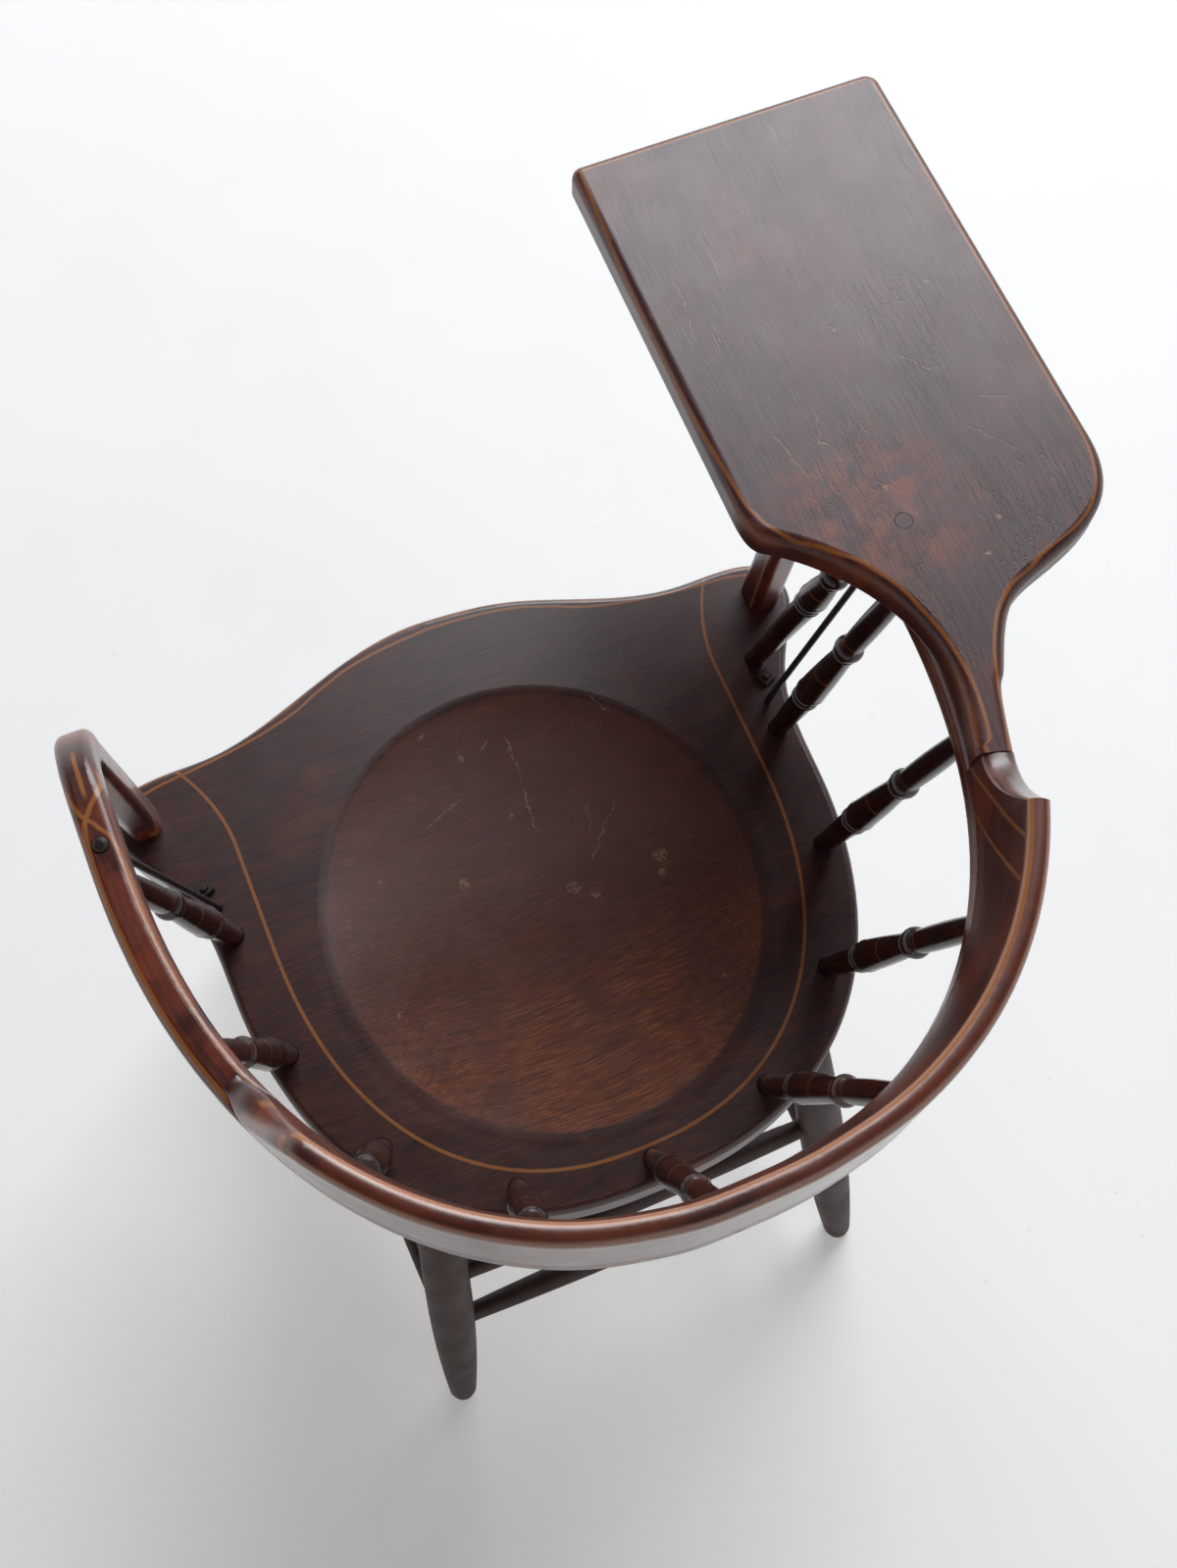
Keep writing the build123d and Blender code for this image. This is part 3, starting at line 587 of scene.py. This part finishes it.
out, _ = off_oval(net, x, y, SEAT_LINE_HALF, SEAT_LINE_DEPTH, SEAT_LINE_FULLNESS)
ahead = net.most(net.minus(FLARE_Y, y), 0.0)
flare = net.maths("POWER", net.divide(ahead, FLARE_RUN), 2.0)
ring_line = line(net, net.minus(out, net.times(flare, FLARE_OUT)), 1.15)
front = off_curve(net, net.absolute(x), y, SEAT_FRONT)
front_line = net.times(line(net, net.minus(front, FRONT_LINE_IN), 1.0), broken(net, where, 0.72, 0.06))
painted = net.most(net.times(ring_line, broken(net, where, 0.85)), front_line)
painted = net.times(painted, net.ease(z, SEAT_TOP - 1.0, SEAT_TOP - 0.2))
colour = ochre_line(net, colour, streaks, painted, 0.8)

ragged = net.minus(front, net.times(net.noise(where, 0.04, 4.0), 9.0))
edge = net.ease(ragged, -3.5, 1.5, 1.0, 0.0)
edge = net.times(edge, net.ease(z, SEAT_TOP - 10.0, SEAT_TOP - 2.0), net.ease(y, -150.0, -165.0))
edge = net.times(edge, broken(net, where, 0.6, 0.12))
colour = net.blend(net.times(edge, 0.75), colour, BARE)

# %% [markdown]
# Scratches and nicks lie mostly in the dish. The varnish shines in front, toward the window, and
# is dull in the back of the dish, where sitters have worn it away.

# %% Seat wear and varnish
SEAT_SCRATCHES = (((-24, -111), (-20, -67), 0.5), ((-20, -67), (-16, -28), 0.7),
                  ((-83, -36), (-58, -12), 0.6), ((-70, -23), (-41, 7), 0.8),
                  ((-60, -44), (-50, -10), 0.4), ((40, -124), (28, -128), 0.7),
                  ((-98, -92), (-88, -110), 0.6), ((60, -60), (20, -75), 0.4),
                  ((0, -100), (-12, -108), 0.6))
SEAT_NICKS = ((-90, 20, 6.5), (-88, 32, 4.0), (46, -14, 5.0), (-94, 118, 2.2), (-25, 18, 6.0),
              (-37, 29, 4.0), (14, -101, 4.0), (-22, -95, 3.0), (-3, -48, 3.0), (120, 60, 4.0),
              (100, -36, 2.0))
SEAT_MARK_TONE = tone(150, 118, 86)
SEAT_HAIR_TONE = tone(150, 92, 56)

wavy_x = net.plus(x, net.times_plus(net.noise(where, 0.11, 3.0), 11.0, -5.5))
marks = knocks(net, wavy_x, y, SEAT_SCRATCHES, SEAT_NICKS, 1.0)
marks = net.times(marks, broken(net, where, 0.36, 0.42))
main = scuffs(net, x, over, 0.0, 0.0, HAIR_RARE)
hair = hairlines(net, where, x, y, main, ((0.9, 7.0), (-1.1, 13.0)), 0.6, 0.02)
colour = net.blend(net.times(marks, 0.6), colour, SEAT_MARK_TONE)
colour = net.blend(net.times(hair, net.times_plus(in_dish, 0.35, 0.15)), colour, SEAT_HAIR_TONE)
height = net.times_plus(marks, -0.5, net.times_plus(painted, 0.12, net.times(fibres, 0.25)))
dull_back = net.times(net.ease(dish, 1.02, 1.10, 1.0, 0.0), net.ease(y, -60.0, 60.0))
rough = net.times_plus(dull_back, 0.30, sheen_of(net, fibres, where, 0.38, 0.46))
gloss = net.times_plus(dull_back, -0.30, net.ease(y, 40.0, -120.0, 0.30, 0.75))
varnished(net, colour, rough, height, 0.3, gloss, 0.3)
put_on(finish, "seat")
print("seat finish:", len(finish.node_tree.nodes), "nodes")

# %% [markdown]
# ## The writing board
# The board's grain runs from front to back. Its stain has worn thin in patches, and most of all
# round the wooden plug near its neck.

# %% Board wood
BOARD_DARK, BOARD_MID, BOARD_WARM = tone(50, 16, 17), tone(72, 29, 29), tone(132, 58, 30)
RUBBED_PLACE = (-240.0, -45.0, BOARD_TOP)

finish, net = new_finish("board_stain")
where = net.place()
x, y, z = net.split(where)
over = net.times_plus(net.noise(where, 0.006, 2.0), 30.0, x)
streaks, fibres = grain(net, y, over, z, 80.0, 2.4)
rub = net.ease(net.noise(where, 0.011, 4.0, 0.6), 0.45, 0.68, 0.0, 0.22)
near_plug = net.ease(net.vector("DISTANCE", where, RUBBED_PLACE, "Value"), 15.0, 85.0, 0.85, 0.0)
near_plug = net.times(near_plug, net.ease(net.noise(where, 0.05, 4.0, 0.7), 0.38, 0.62))
thin = net.most(rub, near_plug)
colour = stained(net, where, streaks, fibres, BOARD_DARK, BOARD_MID, BOARD_WARM, thin)

# %% [markdown]
# The line follows the board's whole outline, so its distance from the edge is the smallest of
# three: from the inner edge, the outer edge and the front. Sleeves and knocks have taken the
# varnish off the edges. The inner edge shows warm wood, and the outer one and the front have
# gone grey.

# %% Board outline and edges
BOARD_FRONT_Y = -346.0
BOARD_INNER = ((-346.0, -168.5), (-82.0, -165.5), (-68.0, -169.0), (-52.0, -177.0), (-31.0, -198.0),
               (-8.5, -218.5), (20.0, -231.0), (62.0, -238.0), (85.0, -236.5), (112.0, -226.0))
BOARD_OUTER = ((-346.0, -385.4), (-75.0, -385.4), (-46.0, -385.4), (-28.0, -382.5), (-4.5, -371.0),
               (21.5, -321.5), (37.5, -288.5), (50.0, -277.0), (74.0, -265.0), (100.0, -257.0),
               (122.0, -249.0))
BOARD_LINE_IN = 5.6
EDGE_WARM, EDGE_GREY = tone(150, 84, 44), tone(150, 128, 106)

inner = net.times(off_curve(net, y, x, BOARD_INNER), -1.0)
outer = off_curve(net, y, x, BOARD_OUTER)
inside = net.chain("MINIMUM", (inner, outer, net.minus(y, BOARD_FRONT_Y)))
on_top = net.ease(z, BOARD_TOP - 9.0, BOARD_TOP - 5.0)
board_line = line(net, net.minus(inside, BOARD_LINE_IN), 1.1)
board_line = net.times(board_line, on_top, broken(net, where, 0.75, 0.1))
colour = ochre_line(net, colour, streaks, board_line, 0.75)

ragged = net.plus(inside, net.times(net.noise(where, 0.05, 5.0, 0.7), 7.0))
edge = net.ease(ragged, 2.5, 6.5, 1.0, 0.0)
edge = net.times(edge, net.ease(z, BOARD_TOP - 14.0, BOARD_TOP - 6.0), broken(net, where, 0.7, 0.09))
edge_tone = net.blend(net.ease(net.minus(inner, inside), 1.0, 6.0), EDGE_WARM, EDGE_GREY)
colour = net.blend(net.times(edge, 0.6), colour, edge_tone)

# %% [markdown]
# Writers have left nicks and scratches, and the old varnish has crazed into fine cracks along
# the grain. The cracks are the borders of stretched Voronoi cells, shown only in patches.

# %% Board wear and varnish
BOARD_NICKS = ((-273, -172, 2.6), (-257, -273, 1.6), (-343, -182, 1.8), (-307, -16, 2.4), (-289, 3, 2.0),
               (-196, -341, 2.2), (-278, -338, 1.6), (-205, -190, 1.4), (-232, -100, 2.2), (-253, -59, 2.6))
BOARD_SCRATCHES = (((-316, -82), (-340, -50), 0.5), ((-261, -104), (-250, -88), 0.6),
                   ((-239, -128), (-230, -96), 0.6), ((-248, -66), (-262, -52), 0.7),
                   ((-373, -307), (-369, -249), 0.4), ((-196, -240), (-192, -196), 0.6),
                   ((-300, -140), (-318, -120), 0.5), ((-330, -96), (-352, -88), 0.5),
                   ((-206, -120), (-214, -80), 0.6))
BOARD_MARK_TONE = tone(176, 140, 116)
BOARD_HAIR_TONE = tone(164, 118, 96)
CRACK_TONE = tone(30, 18, 16)
CELL_WIDE, CELL_LONG = 5.0, 40.0

wavy_x = net.plus(x, net.times_plus(net.noise(where, 0.11, 3.0), 9.0, -4.5))
marks = knocks(net, wavy_x, y, BOARD_SCRATCHES, BOARD_NICKS, 0.6)
marks = net.times(marks, broken(net, where, 0.42, 0.5), on_top)
main = scuffs(net, x, y, 1.5, 3.0, HAIR_RARE)
hair = hairlines(net, where, x, y, main, ((0.5, 9.0), (-0.4, 17.0), (1.1, 23.0)), 0.7, 0.016)
colour = net.blend(net.times(marks, 0.6), colour, BOARD_MARK_TONE)
colour = net.blend(net.times(hair, on_top, 0.4), colour, BOARD_HAIR_TONE)
cells = net.join(net.divide(x, CELL_WIDE), net.divide(y, CELL_LONG), 0.0)
cells = net.vector("ADD", cells, net.noise(where, 0.08, 3.0, 0.6, 0.0, "Color"))
cells = net.add("ShaderNodeTexVoronoi", {"Vector": cells, "Scale": 1.0}, feature="DISTANCE_TO_EDGE")
craze = net.ease(cells.outputs["Distance"], 0.0, 0.05, 1.0, 0.0)
craze = net.times(craze, net.ease(net.noise(where, 0.012, 3.0), 0.48, 0.62), on_top)
colour = net.blend(net.times(craze, 0.35), colour, CRACK_TONE)
height = net.times_plus(marks, -0.6, net.times_plus(craze, -0.25, net.times(fibres, 0.3)))
gloss = net.ease(y, 20.0, -320.0, 0.10, 0.45)
varnished(net, colour, sheen_of(net, fibres, where, 0.37, 0.43), height, 0.3, gloss, 0.32)
put_on(finish, "writing_board")
print("board finish:", len(finish.node_tree.nodes), "nodes")

# %% [markdown]
# ## The plug
# A round wooden plug hides the head of the iron rod that ties the board and the arm to the seat.
# Dirt has gathered in the seam round it, so the colour of its rim is nearly black.

# %% Plug finish
PLUG_DARK, PLUG_MID, PLUG_WARM = tone(50, 16, 16), tone(72, 29, 26), tone(120, 54, 32)
PLUG_PLACE = (-253.3, -34.2)
SEAM_TONE = tone(18, 9, 8)

finish, net = new_finish("plug_stain")
where = net.place()
x, y, z = net.split(where)
streaks, fibres = grain(net, x, y, z, 6.0, 1.5)
colour = stained(net, where, streaks, fibres, PLUG_DARK, PLUG_MID, PLUG_WARM)
from_middle = net.reach(net.minus(x, PLUG_PLACE[0]), net.minus(y, PLUG_PLACE[1]))
colour = net.blend(net.ease(from_middle, 4.4, 5.2, 0.0, 0.9), colour, SEAM_TONE)
rough = sheen_of(net, fibres, where, 0.40, 0.46)
varnished(net, colour, rough, net.times(fibres, 0.3), 0.3, 0.18, 0.34)
put_on(finish, "board_plug")
print("plug finish:", len(finish.node_tree.nodes), "nodes")


# %% [markdown]
# ## The bow's wood
# The bow is one bent stick, so its grain follows the bend, and at the front it turns down into
# the posts. The crest is cut and stained like it, so both share this wood.

# %% Bow wood
BOW_DARK, BOW_MID, BOW_WARM = tone(32, 8, 5), tone(82, 26, 14), tone(166, 66, 26)
POSTS_START, POSTS_FULL = -80.0, -120.0


def bow_wood(net, where, warmth):
    """Colour, streaks and fibres of wood whose grain follows the bow, and the place on the bow."""
    out, along, left = on_bow(net, where)
    _, y, z = net.split(where)
    front = net.ease(y, POSTS_START, POSTS_FULL)
    fall = net.times(front, net.minus(ARM_TOP, z))
    through = net.times_plus(front, net.minus(y, z), z)
    streaks, fibres = grain(net, net.minus(along, fall), out, through, 60.0, 2.4)
    colour = stained(net, where, streaks, fibres, BOW_DARK, BOW_MID, BOW_WARM, warmth)
    return colour, streaks, fibres, out, along, left


# %% [markdown]
# ## Lines on the left arm
# On the bare left arm the painter drew a line down the middle of the front, crossed two lines
# just ahead of the rod's domed head, and took them back along both edges to the foot of the
# crest. Each crossing line is a curve of how far out it lies against how far along it has come.

# %% Lines on the arm
CROSS_INWARD = ((-62.0, 11.5), (-50.0, 10.5), (-33.0, 7.0), (-19.0, -1.5), (0.0, -8.0), (60.0, -8.0),
                (170.0, -7.0))
CROSS_OUTWARD = ((-46.0, -11.0), (-40.0, -7.5), (-29.0, 1.5), (-19.0, 6.2), (-4.0, 7.6), (60.0, 7.6),
                 (140.0, 7.9), (170.0, 7.4))

finish, net = new_finish("bow_stain")
where = net.place()
_, y, z = net.split(where)
warm = net.ease(net.noise(where, 0.03, 3.0), 0.4, 0.65, 0.0, 0.4)
colour, streaks, fibres, out, along, left = bow_wood(net, where, warm)
middle = net.times(line(net, out, 1.3), net.ease(along, -36.0, -44.0))
middle = net.times(middle, net.maths("GREATER_THAN", z, ARM_TOP - 84.0))
inward = line(net, off_curve(net, along, out, CROSS_INWARD), 1.2)
outward = line(net, off_curve(net, along, out, CROSS_OUTWARD), 1.5)
crossing = net.times(net.most(inward, outward), net.ease(along, -56.0, -50.0))
top_lines = net.times(net.most(middle, crossing), left, net.ease(z, ARM_TOP - 12.0, ARM_TOP - 6.0))

# %% [markdown]
# The inner faces of the arms and the posts have lines too: one under the top edge, one near the
# bottom that starts further back, and one down the middle of each post.

# %% Lines on the faces
FACE_LINE_DOWN, LOWER_LINE_DOWN, POST_LINE_DOWN = 7.5, 17.0, 44.0
POST_MIDDLE_RIGHT, POST_MIDDLE_LEFT = -130.0, -124.0

inner_side = net.maths("LESS_THAN", out, -9.0)
face_line = line(net, net.minus(z, ARM_TOP - FACE_LINE_DOWN), 0.9)
face_line = net.times(face_line, inner_side, net.ease(along, -50.0, -20.0))
lower_line = line(net, net.minus(z, ARM_TOP - LOWER_LINE_DOWN), 0.8)
lower_line = net.times(lower_line, inner_side, net.ease(along, 40.0, 90.0))
post_shift = net.times_plus(left, POST_MIDDLE_RIGHT - POST_MIDDLE_LEFT, -POST_MIDDLE_RIGHT)
post_line = line(net, net.plus(y, post_shift), 1.1)
post_line = net.times(post_line, net.maths("LESS_THAN", z, ARM_TOP - POST_LINE_DOWN))
post_line = net.times(post_line, net.maths("LESS_THAN", out, -7.0))
face_lines = net.most(face_line, lower_line, post_line)
top_paint = net.times(top_lines, broken(net, where, 0.85))
face_paint = net.times(face_lines, broken(net, where, 0.8))
painted = net.most(top_paint, face_paint)

# %% [markdown]
# Hands have rubbed the top edges of the arms down to the warm wood, the outer edge most. The
# mask is the distance from the rounded edge, counted both sideways and down, broken by noise.
# The rub goes under the painted lines, so that they stay clear.

# %% Bow wear and varnish
ARRIS_IN = 1.8
RUBBED_TONE = tone(150, 78, 36)

from_side = net.minus(BOW_HALF_THICK, net.absolute(out))
from_top = net.minus(ARM_TOP, z)
arris = net.plus(net.absolute(net.minus(from_side, ARRIS_IN)), net.absolute(net.minus(from_top, ARRIS_IN)))
patches = net.ease(net.noise(where, 0.035, 4.0, 0.7), 0.46, 0.62)
rubbed = net.times(net.ease(arris, 1.0, 5.0, 1.0, 0.0), patches, net.ease(out, -2.0, 2.0, 0.25, 0.6))
colour = net.blend(rubbed, colour, RUBBED_TONE)
colour = ochre_line(net, colour, streaks, painted, 0.9)
height = net.times_plus(painted, 0.15, net.times(fibres, 0.3))
varnished(net, colour, sheen_of(net, fibres, where, 0.30, 0.42), height, 0.2, 0.6, 0.26)
put_on(finish, "arm_bow")
print("bow finish:", len(finish.node_tree.nodes), "nodes")


# %% [markdown]
# ## Lines on the crest
# The crest is the raised rail that the sitter leans on. Inside, two lines sweep up round each
# end to meet the line under the top. The left end starts further back than the right one, so
# the distance along the bow is shifted there, and both ends can use the same curves.

# %% Crest lines
CREST_END_RIGHT, CREST_END_LEFT = 148.0, 163.5      # how far along the bow the crest starts
CREST_LINE_DOWN = 4.9
INNER_LEAN, INNER_FOOT = 0.09, -4.0                 # the inner face leans out as it rises


def sweep_line(net, z, along, start, low, rise, run):
    """A line that leaves the bow's level and sweeps up to the crest's top over a run."""
    share = net.divide(net.minus(along, start), run)
    share = net.most(net.maths("MINIMUM", share, 1.3), 0.0)
    curve = net.times_plus(net.maths("POWER", share, 1.6), rise, low)
    return net.divide(net.minus(z, curve), net.times_plus(share, 1.0, 1.0))


finish, net = new_finish("crest_stain")
where = net.place()
_, _, z = net.split(where)
warm = net.ease(net.noise(where, 0.02, 3.0), 0.4, 0.65, 0.0, 0.35)
colour, streaks, fibres, out, along, left = bow_wood(net, where, warm)
along = net.minus(along, net.times(left, CREST_END_LEFT - CREST_END_RIGHT))
leaning = net.times_plus(net.minus(z, ARM_TOP), INNER_LEAN, INNER_FOOT)
inner_face = net.maths("LESS_THAN", out, leaning)
first = line(net, sweep_line(net, z, along, 130.0, ARM_TOP - 5.0, 80.0, 85.0), 1.0)
second = line(net, sweep_line(net, z, along, 150.0, ARM_TOP - 15.0, 90.0, 88.0), 1.0)
sweeps = net.times(net.most(first, second), net.ease(z, CREST_TOP - 6.2, CREST_TOP - 4.7, 1.0, 0.0))
top_line = line(net, net.minus(z, CREST_TOP - CREST_LINE_DOWN), 1.0)
top_line = net.times(top_line, net.ease(along, 200.0, 206.0))
painted = net.times(net.most(sweeps, top_line), inner_face, broken(net, where, 0.9))
colour = ochre_line(net, colour, streaks, painted, 0.85)

# %% [markdown]
# The crest's rounded crown has been polished by hands. The outer face is worn to bare wood in a
# strip just below the crown, and the crown's own two edges show the warm wood as well, the inner
# one more than the outer.

# %% Crest wear and varnish
STRIP_DOWN, STRIP_FALL = 8.2, 4.0        # the worn strip's depth below the top, and how far it sinks
CROWN_IN, CROWN_OUT = 0.6, 10.2          # how far out the crown's two edges lie
STRIP_TONE, CAP_TONE, CROWN_TONE = tone(166, 96, 50), tone(104, 54, 34), tone(176, 104, 50)

strip_z = net.minus(CREST_TOP - STRIP_DOWN, net.ease(along, 235.0, 390.0, 0.0, STRIP_FALL))
strip = net.plus(net.absolute(net.minus(z, strip_z)), net.times(net.noise(where, 0.06, 5.0, 0.7), 6.0))
rubbed = net.times(net.ease(strip, 3.0, 7.0, 1.0, 0.0), net.maths("GREATER_THAN", out, 4.0))
rubbed = net.times(rubbed, broken(net, where, 0.75, 0.05))
colour = net.blend(net.times(rubbed, 0.75), colour, STRIP_TONE)
polish = net.ease(net.noise(where, 0.02, 4.0), 0.4, 0.6, 0.15, 0.55)
colour = net.blend(net.times(net.ease(z, CREST_TOP - 10.2, CREST_TOP - 2.2), polish), colour, CAP_TONE)
crown_out = net.times(line(net, net.minus(out, CROWN_OUT), 1.2), 0.5)
crown = net.most(line(net, net.minus(out, CROWN_IN), 1.6), crown_out)
crown = net.times(crown, net.ease(z, CREST_TOP - 5.7, CREST_TOP - 3.7), broken(net, where, 0.7, 0.05))
colour = net.blend(net.times(crown, 0.85), colour, CROWN_TONE)
height = net.times_plus(painted, 0.15, net.times(fibres, 0.3))
varnished(net, colour, sheen_of(net, fibres, where, 0.28, 0.40), height, 0.2, 1.0, 0.30)
put_on(finish, "crest")
print("crest finish:", len(finish.node_tree.nodes), "nodes")


# %% [markdown]
# ## Turned pieces
# Spindles, legs and stretchers were turned on a lathe, so their grain runs along their axis,
# which leans a different way for each. One finish can't know that, so each piece gets its own,
# made by a loop. The axis is measured from the piece's own mesh: it is the long direction in
# which its points spread, from the middle of its lowest ring to the middle of its highest one.

# %% Axis of a turned piece
END_SLICE = 1.0


def axis_of(name):
    """The lowest point, direction and length of a turned piece, in millimetres."""
    mesh = nodes[name].data
    points = np.empty(len(mesh.vertices) * 3)
    mesh.vertices.foreach_get("co", points)
    points = points.reshape(-1, 3) * 1000
    centre = points.mean(0)
    spread = np.linalg.svd(points - centre, full_matrices=False)[2][0]
    spread = spread * (1 if spread[2] >= 0 else -1)
    shares = (points - centre) @ spread
    foot_ring = points[shares < shares.min() + END_SLICE].mean(0)
    head_ring = points[shares > shares.max() - END_SLICE].mean(0)
    run = head_ring - foot_ring
    length = float(np.linalg.norm(run))
    return foot_ring, run / length, length


# %% [markdown]
# The finish itself is the same stained wood, with the grain along that axis. Painted rings are
# thin bands at given heights up it, and faint rings of relief are what the turner's gouge left.

# %% Finish of a turned piece
def turned_finish(name, tones, rings, rough, coat):
    """Stained wood with its grain along a turned piece's axis, and painted rings at given heights."""
    foot, axis, _ = axis_of(name)
    finish, net = new_finish(name + "_stain")
    where = net.place()
    from_foot = net.vector("SUBTRACT", where, tuple(foot))
    up = net.vector("DOT_PRODUCT", from_foot, tuple(axis), "Value")
    x, y, _ = net.split(where)
    streaks, fibres = grain(net, up, x, y, 45.0, 2.0)
    colour = stained(net, where, streaks, fibres, *tones)
    painted = 0.0
    for height in rings:
        painted = net.most(painted, line(net, net.minus(up, height), 0.75, 0.35))
    painted = net.times(painted, broken(net, where, 0.85))
    colour = net.blend(net.times(painted, 0.7), colour, OCHRE_DULL)
    lathe = net.noise(net.join(0.0, 0.0, net.times(up, 0.9)), 1.0, 2.0)
    height = net.times_plus(lathe, 0.10, net.times(fibres, 0.2))
    varnished(net, colour, sheen_of(net, fibres, where, *rough), height, 0.25, coat, 0.15)
    put_on(finish, name)


# %% [markdown]
# ## The spindles
# Each spindle has a vase between two groups of turned rings, and two painted bands: one round
# the middle of the vase and one just above the upper group. The heights are shares of the length
# that shows between the seat and the bow, because no two spindles are quite equally long.

# %% Spindles
SPINDLE_TENON, SPINDLE_HEAD = 24.0, 15.0      # lengths hidden in the seat and in the bow
VASE, SUPPORT_VASE = (0.28, 0.60), (0.52, 0.70)
BAND_ABOVE = 14.0
SPINDLE_TONES = (tone(18, 4, 2), tone(54, 15, 8), tone(104, 36, 16))

spindles = ["spindle_%d" % i for i in range(1, 10)] + ["support_spindle"]
for name in spindles:
    low, high = SUPPORT_VASE if name == "support_spindle" else VASE
    shown = axis_of(name)[2] - SPINDLE_TENON - SPINDLE_HEAD
    bands = ((low + high) / 2 * shown, high * shown + BAND_ABOVE)
    rings = [SPINDLE_TENON + band for band in bands]
    turned_finish(name, SPINDLE_TONES, rings, (0.22, 0.32), 0.3)
print("spindles finished:", len(spindles))

# %% [markdown]
# The legs and stretchers are plainer and have been scrubbed with the floor, so their stain is
# dull and greyish and they have no gloss left.

# %% Legs and stretchers
LEG_TONES = (tone(40, 20, 14), tone(58, 34, 25), tone(84, 52, 37))

under = [name for name in nodes if name.startswith(("leg_", "stretcher_"))]
for name in under:
    turned_finish(name, LEG_TONES, (), (0.52, 0.66), 0.0)
print("legs and stretchers finished:", len(under))

# %% [markdown]
# ## Iron
# The tie rods, bolts, nuts and screws are blackened iron with a little brown rust. Bare metal
# would be too bright, so the finish is mostly a dark scale with an uneven, half-dull shine.

# %% Iron finish
IRON = ("tie_rod_left", "tie_rod_right", "tie_rod_washers", "tie_rod_nuts",
        "seat_bolts", "seat_bolt_nuts", "crest_screws", "board_screws")
SCALE_TONE, RUST_TONE = tone(58, 54, 52), tone(84, 58, 44)

finish, net = new_finish("black_iron")
where = net.place()
rust = net.ease(net.noise(where, 0.35, 5.0, 0.7), 0.48, 0.66)
pits = net.noise(where, 1.2, 3.0, 0.6)
bump = net.add("ShaderNodeBump", {"Height": pits, "Strength": 0.3, "Distance": 0.0005})
sockets = {"Base Color": net.blend(rust, SCALE_TONE, RUST_TONE), "Metallic": 0.7}
sockets.update({"Roughness": net.ease(pits, 0.3, 0.7, 0.38, 0.62), "Normal": bump.outputs[0]})
shader = net.add("ShaderNodeBsdfPrincipled", sockets)
net.add("ShaderNodeOutputMaterial", {"Surface": shader.outputs[0]})
put_on(finish, *IRON)
print("iron pieces:", len(IRON))

# %% [markdown]
# ## Last steps
# Colours are shown as they are written, with no film look, and the size of the finished chair is
# printed.

# %% Finish
bpy.context.scene.view_settings.view_transform = "Standard"
low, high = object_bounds()
print("size of the finished chair:", [round(v, 4) for v in high - low])
